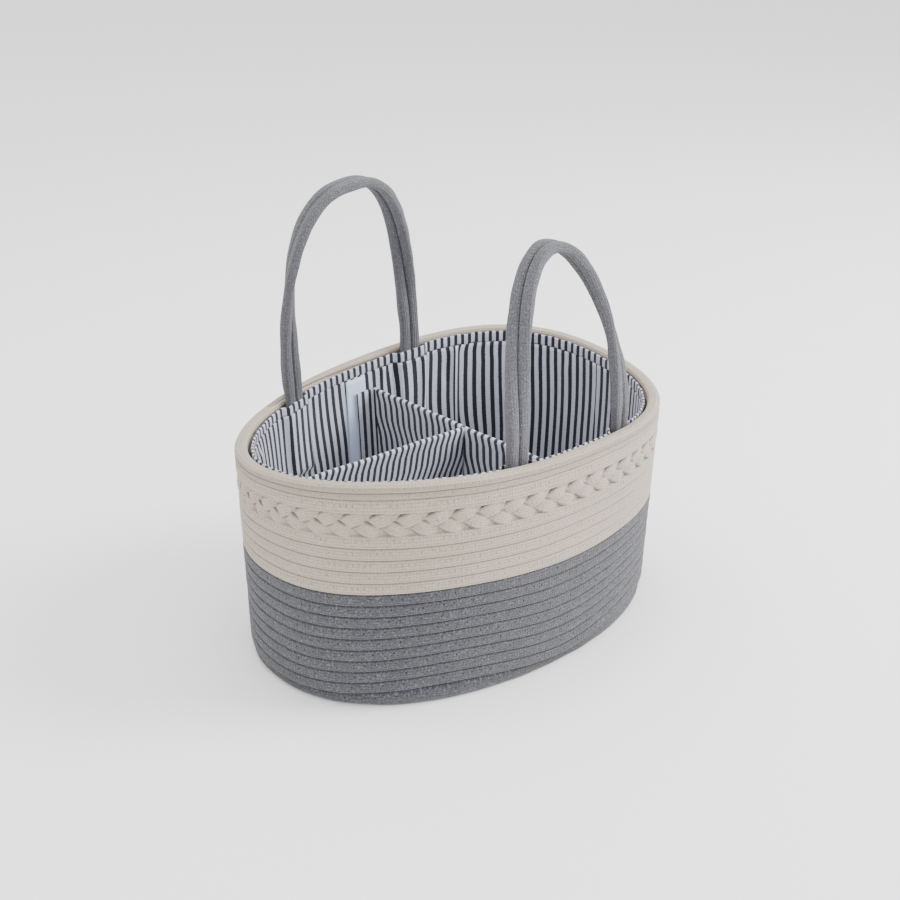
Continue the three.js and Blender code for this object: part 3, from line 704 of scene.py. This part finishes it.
def spiralBase():
    s = base
    # One turn lies against the wall, and the others wind in to an end of the middle line.
    turns = 1 + (wall["baseWidth"] / 2 - s["firstInset"] - s["halfWidth"]) / s["pitch"]
    start = (math.floor(2 * turns) / 2 - turns) * tau
    turn = np.arange(int(turns * s["stepsPerTurn"])) / s["stepsPerTurn"]
    inset = s["firstInset"] + s["halfWidth"] + s["pitch"] * np.maximum(turn - 1, 0)
    centre = ovalPlace(turn * tau + start, inset)
    # The second turn starts inside the first, where it is a little slimmer so that it is hidden.
    slim = np.where(turn < 1, 1, 1 - s["slimmer"] * np.clip(2 - turn, 0, 1))
    keep = np.concatenate([[True], np.diff(np.floor(lengths(centre) / s["pointGap"])) > 0])
    centre, slim = centre[keep], slim[keep, None, None]
    along = unit(np.gradient(centre, axis=0))
    across = unit(np.cross(along, up))
    outline, girth = ropeOutline(s["halfWidth"], s["halfHeight"], s["power"], s["sectionSize"])
    outline = outline * slim
    rings = centre[:, None] + across[:, None] * outline[..., :1] + up * outline[..., 1:]
    return sweep("base_rows", rings, lengths(centre), girth)


finishPiece(spiralBase(), "basket", "grey_rope", greyRope, "base_rope_coil")
print("base made")

# Handles: feet, tails and arches.

handlePair = {
    "ropeWidth": 0.0087, "spacing": 0.0088, "depth": 0.0082, "power": 2.9, "sectionSize": 24,
    "press": 0.00003, "girth": 0.0046, "lump": 0.00022, "lumpLength": 0.03, "twistPower": 1.45,
    "tailDepth": 0.0054, "tailInset": 0.01485, "tailBottom": 0.1145, "tailTop": 0.179,
    "tailSteps": 26, "thickenFrom": 0.170, "thickenOver": 0.012, "endSize": 0.35, "endRun": 0.004,
    "pivotAboveRim": 0.007, "archSteps": 190, "fineSteps": 1600, "footSteps": 6, "softenings": 10,
    "bendBelow": 0.006, "bendAbove": 0.010,
}
frontHandle = {"name": "front_handle", "side": -1, "left": -0.046, "right": 0.066, "height": 0.133,
               "lean": 0.027, "leanPower": 1.6, "skew": -0.0012, "roundness": 2.05}
rearHandle = {"name": "rear_handle", "side": 1, "left": -0.077, "right": 0.049, "height": 0.151,
              "lean": 0.015, "leanPower": 2.1, "skew": -0.0144, "roundness": 2.65}


def footOf(handle, x):
    h, far = handlePair, handle["side"] * math.pi
    angle = float(angleAt(x + wall["middleX"], 0, 0.0, far, wall["height"], h["tailInset"]))
    point, _ = onWall(angle, wall["height"], h["tailInset"])
    return {"angle": angle, "point": point + up * h["pivotAboveRim"]}


for handle in (frontHandle, rearHandle):
    handle["feet"] = [footOf(handle, handle["left"]), footOf(handle, handle["right"])]
    handle["axis"] = unit(handle["feet"][1]["point"] - handle["feet"][0]["point"])
    handle["outward"] = unit(np.cross(handle["axis"], up) * -handle["side"])
feet = frontHandle["feet"] + rearHandle["feet"]


# The middle line of the arch, evenly spaced, as in the CAD model.
def archLine(handle, count):
    turn = np.linspace(math.pi, 0, handlePair["fineSteps"] + 1)
    c, s = np.cos(turn), np.maximum(np.sin(turn), 0)
    across = np.sign(c) * np.abs(c) ** (2 / handle["roundness"])
    rise = s ** (2 / handle["roundness"])
    left, right = (foot["point"] for foot in handle["feet"])
    line = (left + right) / 2 + np.outer(across, (right - left) / 2)
    line += np.column_stack([handle["skew"] * rise,
                             -handle["side"] * handle["lean"] * rise ** handle["leanPower"],
                             handle["height"] * rise])
    run = lengths(line)
    even = np.linspace(0, run[-1], count)
    return np.column_stack([np.interp(even, run, line[:, i]) for i in range(3)])


# Middle line of the rope pair from tail to tail, with the ways of its depth and width.
def handleFrames(handle):
    h, skip, outward = handlePair, handlePair["footSteps"], handle["outward"]
    arch = archLine(handle, h["archSteps"])
    along = unit(np.gradient(arch, axis=0))
    flat = unit(outward - along * (along @ outward)[:, None])
    crown = np.cross(flat, along) * -handle["side"]
    share = 1 - np.abs(np.linspace(-1, 1, h["archSteps"]))
    turn = (math.pi / 2 * np.sin(math.pi / 2 * share) ** h["twistPower"])[:, None]
    depthway = flat * np.cos(turn) + crown * np.sin(turn)
    levels = np.linspace(h["tailBottom"], h["tailTop"], h["tailSteps"])
    left, right = (onWall(foot["angle"], levels, h["tailInset"]) for foot in handle["feet"])
    line = np.vstack([left[0], arch[skip:-skip], right[0][::-1]])
    depthway = np.vstack([left[1], depthway[skip:-skip], right[1][::-1]])
    above = smooth((levels - h["thickenFrom"]) / h["thickenOver"])
    above = np.concatenate([above, np.ones(h["archSteps"] - 2 * skip), above[::-1]])
    for _ in range(h["softenings"]):   # softens the turn from the tails into the arch
        for row in (line, depthway, above):
            row[1:-1] = (row[:-2] + 2 * row[1:-1] + row[2:]) / 4
    along = unit(np.gradient(line, axis=0))
    depthway = unit(depthway - along * np.sum(along * depthway, 1, keepdims=True))
    widthway = unit(np.cross(along, depthway)) * -handle["side"]
    return line, depthway, widthway, mix(h["tailDepth"], h["depth"], above) / 2


def handleRopePiece(handle, index):
    h, side = handlePair, index * 2 - 1
    line, depthway, widthway, halfDepth = handleFrames(handle)
    run = lengths(line)
    lump = waver(run, 50 + index + 5 * handle["side"], h["lumpLength"], h["lump"])
    centre = line + widthway * (side * h["spacing"] / 2)
    outline, girth = ropeOutline(1.0, 1.0, h["power"], h["sectionSize"])
    outline = outline * [-side, 1.0]   # the section starts at the seam between the two ropes
    outerSide = outline[:, :1] * side > 0
    width = h["spacing"] / 2 + h["press"] + lump[:, None, None] * outerSide
    depth = (halfDepth + lump)[:, None, None]
    ends = np.minimum(1.0, h["endSize"] + np.minimum(run, run[-1] - run) / h["endRun"])
    rings = centre[:, None] + ends[:, None, None] * (
        widthway[:, None] * outline[:, :1] * width + depthway[:, None] * outline[:, 1:] * depth)
    return sweep(f"{handle['name']}_sewn_rope_{index + 1}", rings, run, girth * h["girth"])


# Two places on either side of the hinge line, between which the rope bends.
def bendSpan(handle):
    middle = sum(foot["point"] for foot in handle["feet"]) / 2
    way = unit(up - handle["axis"] * (up @ handle["axis"]))
    below, above = -handlePair["bendBelow"], handlePair["bendAbove"]
    return tuple(middle + way * below), tuple(middle + way * above)


for handle in (frontHandle, rearHandle):
    name = handle["name"]
    start, end = bendSpan(handle)
    for index in (0, 1):
        piece = handleRopePiece(handle, index)
        finishPiece(piece, None, "grey_rope", handleRope, f"{name}_rope_{index + 1}",
                    f"{name}_tail_{index + 1}", f"{name}_tail_{index + 3}")
        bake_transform(piece)
print("handles made")

# Lining: wall, hem and floor.

lining = {
    "columns": 720, "rows": 56, "bottom": 0.0089, "top": 0.1697, "bumpRamp": 0.008,
    "bumpDrop": 0.064, "bumpMargin": 0.0012, "bumpClearance": 0.0014, "gather": 0.00035,
    "gatherFrom": 0.12, "slack": 0.0006, "fade": 0.05, "girthLevel": 0.12, "wander": 0.0009,
    "wanderRise": 52, "wanderTurns": 5, "uneven": 0.0007, "smoothWaves": 9,
}
hem = {"sectionSize": 16, "halfThick": 0.0010, "power": 3.4, "sag": 0.00025, "gather": 0.0002}
floorSheet = {"rounds": 46, "columns": 180, "edgeLevel": 0.0089, "gap": 0.00045, "bottom": 0.00893,
              "top": 0.01038, "ripple": 0.00022, "lengthX": 0.09, "lengthY": 0.08, "calm": 0.15}
leftEnd = {"wideFrom": 2.7, "wideOver": 0.6, "easeFrom": 3.6, "easeOver": 1.6, "wide": 0.022,
           "slantFrom": 2.2, "slantTo": 5.5, "slantIn": 0.9, "slantOut": 2.0, "slant": 0.035,
           "level": 0.172, "depth": 0.03}
creaseEdge = {"foot": 0.03, "head": 0.012, "reach": 0.03}
# Creases: angle at the top, width, depth, lowest and highest level, lean in angle over the
# height of the wall, and the length of cloth that the crease takes in.
creases = [
    (0.870, 0.0034, 0.0030, 0.085, 0.176, 0.03, 0.0060),
    (1.068, 0.0044, 0.0024, 0.100, 0.178, 0.15, 0.0040),
    (1.375, 0.0034, 0.0020, 0.140, 0.178, 0.20, 0.0025),
    (0.965, 0.0050, 0.0014, 0.050, 0.150, -0.10, 0.0),
    (0.60, 0.0050, 0.0016, 0.050, 0.165, -0.06, 0.002),
    (0.20, 0.0050, 0.0014, 0.060, 0.165, 0.05, 0.0),
    (2.55, 0.0040, 0.0014, 0.070, 0.165, -0.05, 0.002),
    (2.86, 0.0036, 0.0012, 0.050, 0.165, 0.05, 0.0),
    (3.60, 0.0040, 0.0014, 0.060, 0.165, 0.06, 0.0),
    (3.95, 0.0044, 0.0012, 0.070, 0.160, -0.05, 0.002),
    (5.10, 0.0040, 0.0016, 0.060, 0.165, 0.05, 0.002),
    (5.85, 0.0046, 0.0014, 0.050, 0.160, -0.06, 0.0),
]


# How far the sewn-in tails push the lining in, as in the CAD model.
def bump(angle, level):
    p = handlePair
    pairHalf = p["spacing"] / 2 + p["ropeWidth"] / 2
    depth = p["tailInset"] + p["tailDepth"] / 2 + lining["bumpClearance"] - liningInner
    rise = smooth((level - hemBottom + lining["bumpDrop"]) / lining["bumpRamp"])
    here = onWall(angle, wall["height"], p["tailInset"])[0]
    share = np.zeros(np.shape(level))
    for foot in feet:
        there = onWall(foot["angle"], wall["height"], p["tailInset"])[0]
        aside = np.linalg.norm(here - there, axis=-1) - pairHalf - lining["bumpMargin"]
        share = np.maximum(share, smooth(1 - aside / lining["bumpRamp"]))
    return depth * share * rise


dividerPlace = {"cross": 0.010 + wall["middleX"], "stem": 0.0004 + wall["middleY"], "level": 0.1,
                "flapSide": 0.060, "bareSide": 0.016, "fade": 0.012, "leftOf": -0.1}


# 1 beside the divider's ends, its flaps and the loop strips, where the lining stays flat.
def dividerNear(angle):
    d = dividerPlace
    x, y = np.moveaxis(onWall(angle, d["level"], liningInner)[0][..., :2], -1, 0)
    cross, stem = (between(aside, -d["flapSide"], d["bareSide"], d["fade"], d["fade"])
                   for aside in (x - d["cross"], -y))
    return np.clip(cross + stem * (x < d["leftOf"]), 0, 1)


# How far the creases stand out, and the cloth that they take in up to each place.
def crease(angle, level, point):
    depthHere, takenIn = np.zeros((2, *np.shape(level)))
    reach = creaseEdge["reach"]
    for where, width, depth, low, high, lean, taken in creases:
        line = where + lean * (wall["height"] - level) / wall["height"]
        middle = onWall(line, level, liningInner)[0]
        aside = np.linalg.norm((point - middle)[..., :2], axis=-1) * np.sign(angle - line)
        window = between(level, low, high, creaseEdge["foot"], creaseEdge["head"])
        depthHere += depth * np.exp(-(aside / width) ** 2) * window
        takenIn += taken * (np.tanh(aside / width) - np.tanh(aside / reach)) * window / 2
    return depthHere, takenIn


# How much further the cloth runs over the tails than round the bare wall, evened out beside them.
def overTails(bare, cloth):
    before, after = (np.linalg.norm(np.roll(line, -1, 0) - line, axis=-1) for line in (bare, cloth))
    further = np.cumsum(after - before, axis=0)
    count = len(further)
    further -= further[-1:] * (np.arange(1, count + 1) / count)[:, None]
    waves = np.fft.rfft(further, axis=0)
    waves[:lining["smoothWaves"]] = 0
    return np.fft.irfft(waves, count, axis=0)


# The cloth is pulled wide and aslant round the left end, and is eased in again at the front.
def endPull(angle, level):
    e = leftEnd
    wide = (smooth((angle - e["wideFrom"]) / e["wideOver"])
            - smooth((angle - e["easeFrom"]) / e["easeOver"]))
    slant = between(angle, e["slantFrom"], e["slantTo"], e["slantIn"], e["slantOut"])
    return e["slant"] * (1 - np.exp((level - e["level"]) / e["depth"])) * slant - e["wide"] * wide


# A band of cloth with two faces, of which the first is the outer one on the wall.
def twoFaced(name, outer, inner, along, levels, closed=False):
    rings = np.concatenate([outer, inner[:, ::-1]], 1)
    around = np.concatenate([levels, levels[::-1], levels[:1]])
    if along.ndim > 1:
        along = np.concatenate([along, along[:, ::-1], along[:, :1]], 1)
    return sweep(name, rings, along, around, closed)


# Length of cloth run up to each place round the wall.
def runRound(angle, pulled):
    girth = lengths(onWall(angle, lining["girthLevel"], liningInner)[0], True)
    return girth[:, None] + np.vstack([pulled, pulled[:1]])


def liningWall():
    s = lining
    angle = np.arange(s["columns"])[:, None] * tau / s["columns"]
    level = np.linspace(s["bottom"], s["top"], s["rows"])[None, :]
    angle, level = np.broadcast_arrays(angle, level)
    point, _ = onWall(angle, level, liningInner)
    standing, takenIn = crease(angle, level, point)
    gather = np.abs(waverRound(angle, 61, 40, 90, s["gather"]))
    slack = np.abs(waverRound(angle, 62, 5, 16, s["slack"]))
    soft = (standing + gather * smooth((level - s["gatherFrom"]) / s["fade"])
            + slack * smooth(level / s["fade"])) * (1 - dividerNear(angle))
    inset = liningOuter + bump(angle, level) + soft
    outer, _ = onWall(angle, level, inset)
    inner, _ = onWall(angle, level, inset + clothThick)
    wander = s["wander"] * np.sin(level * s["wanderRise"] + angle * s["wanderTurns"])
    pulled = takenIn + wander + waverRound(angle, 65, 3, 12, s["uneven"])
    pulled = pulled + overTails(point, inner) + endPull(angle, level)
    along = runRound(angle[:, 0], pulled)
    return twoFaced("lining_wall_cloth", outer, inner, along, level[0], closed=True)


def liningHem():
    angle = np.arange(lining["columns"]) * tau / lining["columns"]
    outline, girth = ropeOutline(hem["halfThick"], (hemTop - hemBottom) / 2, hem["power"],
                                 hem["sectionSize"])
    middle = (hemTop + hemBottom) / 2 + waverRound(angle, 63, 30, 80, hem["sag"])
    level = middle[:, None] + outline[:, 1]
    inset = liningOuter + hem["halfThick"] + bump(angle[:, None] + 0 * level, level)
    inset += waverRound(angle, 64, 30, 90, hem["gather"])[:, None] - outline[:, 0]
    rings, _ = onWall(angle[:, None], level, inset)
    bare, _ = onWall(angle[:, None], level, liningOuter)
    pulled = overTails(bare, rings) + endPull(angle, hemBottom)[:, None]
    along = runRound(angle, np.hstack([pulled, pulled[:, :1]]))
    return sweep("lining_hem_band", rings, along, girth, closed=True)


def liningFloor():
    s = floorSheet
    rounds, columns = s["rounds"], s["columns"]
    edge, _ = onWall(np.arange(columns) * tau / columns, s["edgeLevel"], liningInner + s["gap"])
    share = (np.arange(1, rounds + 1) / rounds)[:, None, None]
    centre = np.array([wall["middleX"], wall["middleY"]])
    flat = centre + (edge[:, :2] - centre) * share
    ripple = (waver(flat[..., 0], 71, s["lengthX"], s["ripple"])
              + waver(flat[..., 1], 72, s["lengthY"], s["ripple"]))
    ripple = np.maximum(ripple, 0) * smooth((1 - share[..., 0]) / s["calm"])
    size = 1 + rounds * columns
    points, faces = np.zeros((2, size, 3)), []
    for side, level in enumerate((s["bottom"], s["top"])):
        points[side, 0] = [*centre, level]
        points[side, 1:] = np.dstack([flat, level + ripple]).reshape(-1, 3)
        turned = 2 * side - 1   # the underside's faces look down
        for column in range(columns):
            a, b = (side * size + 1 + place % columns for place in (column, column + 1))
            faces.append([side * size, a, b][::turned])
            for ring in range(0, size - 1 - columns, columns):
                faces.append([a + ring, a + ring + columns, b + ring + columns, b + ring][::turned])
    rim = size - columns + np.arange(columns)
    nextRim = np.roll(rim, -1)
    faces += np.stack([rim, nextRim, nextRim + size, rim + size], -1).tolist()
    points = points.reshape(-1, 3)
    return addMesh("lining_floor_cloth", points, faces, points[np.concatenate(faces)][:, 1::-1])


liningCloth = finishPiece(liningWall(), "basket", "striped_cloth", stripedCloth, "lining_wall")
hemBand = finishPiece(liningHem(), "basket", "striped_cloth", hemCloth, "lining_hem")
floorCloth = finishPiece(liningFloor(), "basket", "striped_cloth", stripedCloth, "lining_floor")
print("lining made")

# The divider.

panel = {
    "thickness": 0.0054, "cloth": 0.0011, "bottom": 0.01075, "top": 0.158, "endGap": 0.0018,
    "jointGap": 0.0001, "columns": 130, "sideSteps": 24, "turnSteps": 13, "pinch": 0.62,
    "pinchRun": 0.0022, "slit": 0.03, "closeRun": 0.0015, "sag": 0.00025, "sagLength": 0.07,
    "sagFrom": 0.10, "sagOver": 0.06, "bulge": 0.00012, "bulgeLength": 0.05, "pull": 0.0010,
    "pullLength": 0.030, "pullFrom": 0.004, "spanLevel": 0.1,
}


# The section of a cloth sleeve that is closed over the top and open below.
def panelOutline():
    p, half = panel, panel["thickness"] / 2
    side = np.linspace(p["bottom"], p["top"] - half, p["sideSteps"])[:-1]
    turn = np.linspace(0, math.pi, p["turnSteps"])
    across = np.concatenate([np.ones(len(side)), np.cos(turn), -np.ones(len(side))])
    faces = []
    for reach in (-half, half - p["cloth"]):   # over the outside, and back over the inside
        top = p["top"] - half + abs(reach) * np.sin(turn)
        faces.append(np.stack([across * reach, np.concatenate([side, top, side[::-1]])], -1))
    outline = np.concatenate(faces)
    girth = lengths(outline)
    return outline, np.append(girth, girth[-1] + p["cloth"])


def panelPiece(name, placeOf, seed):
    p = panel
    outline, girth = panelOutline()
    across, level = outline.T
    share = np.linspace(0, 1, p["columns"])[:, None]
    span = np.linalg.norm(placeOf(1.0, 0.0, p["spanLevel"]) - placeOf(0.0, 0.0, p["spanLevel"]))
    run = share * span
    fromEnd = np.minimum(run, span - run)
    inside = mix(p["slit"], 1, smooth(fromEnd / p["closeRun"]))   # the ends are sewn shut
    wide = np.where(np.arange(len(outline)) < len(outline) // 2, 1, inside)
    wide = wide * mix(p["pinch"], 1, smooth(fromEnd / p["pinchRun"]))
    sag = waver(run, seed, p["sagLength"], p["sag"]) * smooth((level - p["sagFrom"]) / p["sagOver"])
    bulge = waver(run, seed + 1, p["bulgeLength"], p["bulge"])
    rings = placeOf(share, across * wide + bulge, level + sag)
    down = p["top"] - np.append(level, level[0])
    pulled = p["pull"] * np.sin(down / p["pullLength"] * tau) * smooth(down / p["pullFrom"])
    return sweep(name, rings, run + pulled, girth)


# A place on the inside of the wall, as far from it as the panels' ends.
def panelEnd(angle, level):
    return onWall(angle, level, liningInner + panel["endGap"])[0]


def crossPlace(share, across, level):
    front, rear = (panelEnd(side * math.pi / 2, level)[..., 1] for side in (-1, 1))
    return np.stack([dividerPlace["cross"] + across, mix(front, rear, share), level], -1)


def stemPlace(share, across, level):
    joint = dividerPlace["cross"] - panel["thickness"] / 2 - panel["jointGap"]
    x = mix(panelEnd(math.pi, level)[..., 0], joint, share)
    return np.stack([x, dividerPlace["stem"] + across, level], -1)


crossCover = finishPiece(panelPiece("cross_panel_cloth", crossPlace, 81), "divider", "striped_cloth",
                         crossCloth, "divider_cross_cover")
stemCover = finishPiece(panelPiece("stem_panel_cloth", stemPlace, 84), "divider", "striped_cloth",
                        stemCloth, "divider_stem_cover")
for node in ("divider_cross_board", "divider_stem_board"):
    nodes[node].data.materials.clear()
    nodes[node].data.materials.append(stiffBoard)

flap = {"thickness": 0.0012, "inset": 0.01715, "gap": 0.0004, "length": 0.016, "round": 0.004,
        "top": 0.1568, "turnSteps": 16, "flatSteps": 22, "levels": 40, "ripple": 0.0001,
        "rippleLength": 0.05, "rippleSlant": 0.4}
loopStrip = {"thickness": 0.0009, "inset": 0.0145, "width": 0.020, "pastFlap": 0.009,
             "bottom": 0.060, "top": 0.169, "steps": 14, "levels": 30}
hookStrip = {"thickness": 0.0009, "inset": 0.01575, "width": 0.010, "pastFlap": 0.0,
             "bottom": 0.060, "top": 0.150, "steps": 12, "levels": 30}
firstOffset = panel["thickness"] / 2 + flap["gap"]
flapEnd = firstOffset + flap["length"]


# A place on the inside of the wall at a distance from the panel's middle, at one end.
def wallPlaceAt(end, offset, level, inset):
    if end == "left":
        angle = angleAt(dividerPlace["stem"] + offset, 1, math.pi / 2, 1.5 * math.pi, level, inset)
    else:
        far = math.pi if end == "rear" else -math.pi
        angle = angleAt(dividerPlace["cross"] - offset, 0, 0.0, far, level, inset)
    return onWall(angle, level, inset)[0]


def thinSheet(name, end, offsets, levels, s, curl=0.0, seed=0):
    offset, level = np.meshgrid(offsets, levels, indexing="ij")
    place = wallPlaceAt(end, offset, level, s["inset"])
    if curl:   # the first part turns from the panel's face onto the wall
        corner, landing = (wallPlaceAt(end, firstOffset + past, level, s["inset"])
                           for past in (0, curl))
        inward = {"rear": (0, -1, 0), "front": (0, 1, 0), "left": (1, 0, 0)}[end]
        begin = corner + np.array(inward) * curl
        share = np.clip((offset - firstOffset + curl) / (2 * curl), 0, 1)[..., None]
        bent = (1 - share) ** 2 * begin + 2 * share * (1 - share) * corner + share ** 2 * landing
        place = np.where(offset[..., None] < firstOffset + curl, bent, place)
    normal = unit(np.cross(unit(np.gradient(place, axis=0)), up))
    if seed:
        ripple = waver(offset + level * s["rippleSlant"], seed, s["rippleLength"], s["ripple"])
        place = place + normal * ripple[..., None]
    half = normal * s["thickness"] / 2
    return twoFaced(name, place + half, place - half, offsets - offsets[0], levels)


for end in ("rear", "front", "left"):
    bend = firstOffset + flap["round"] * np.linspace(-1, 1, flap["turnSteps"])
    offsets = np.append(bend, np.linspace(bend[-1], flapEnd, flap["flatSteps"])[1:])
    levels = np.linspace(panel["bottom"], flap["top"], flap["levels"])
    piece = thinSheet(f"{end}_flap_cloth", end, offsets, levels, flap, curl=flap["round"], seed=90)
    finishPiece(piece, "divider", "striped_cloth", stripedCloth, f"divider_{end}_flap")
    for kind, strip, body, material, under in (
            ("loop", loopStrip, "basket", loopTape, "lining_wall_cloth"),
            ("hook", hookStrip, "divider", hookTape, f"{end}_flap_cloth")):
        levels = np.linspace(strip["bottom"], strip["top"], strip["levels"])
        edge = flapEnd + strip["pastFlap"]
        offsets = np.linspace(edge - strip["width"], edge, strip["steps"])
        piece = thinSheet(f"{kind}_tape_{end}", end, offsets, levels, strip)
        finishPiece(piece, body, "hook_and_loop", material, f"{kind}_strip_{end}")
print("divider made")

# Floor and light.

studio = {
    "floor": (0.98, 0.98, 0.98, 1), "floorHalf": 20, "floorLevel": -0.0002, "roughness": 0.9,
    "world": (1.0, 1.0, 1.0, 1), "worldStrength": 1.62, "target": (0, 0, 0.1),
}


def makeStudio(s):
    half = s["floorHalf"]
    points = [(-half, -half, 0), (half, -half, 0), (half, half, 0), (-half, half, 0)]
    floor = addMesh("studio_floor", points, [(0, 1, 2, 3)])
    floor.location.z = s["floorLevel"]
    material, _, shader = newMaterial("studio floor", s["roughness"])
    shader.inputs["Base Color"].default_value = s["floor"]
    floor.data.materials.append(material)
    world = bpy.data.worlds.new("studio")
    bpy.context.scene.world = world
    world.use_nodes = True
    background = world.node_tree.nodes["Background"]
    background.inputs["Color"].default_value = s["world"]
    background.inputs["Strength"].default_value = s["worldStrength"]


def addLight(name, place, size, power):
    data = bpy.data.lights.new(name, "AREA")
    data.shape, data.size, data.energy = "DISK", size, power
    lamp = bpy.data.objects.new(name, data)
    lamp.location = place
    way = Vector(studio["target"]) - Vector(place)
    lamp.rotation_euler = way.to_track_quat("-Z", "Y").to_euler()
    bpy.context.scene.collection.objects.link(lamp)


makeStudio(studio)
addLight("key_light", (1.7, -1.3, 1.6), 1.4, 100)
addLight("top_light", (-0.3, 0.3, 2.4), 1.8, 30)
print("studio made")
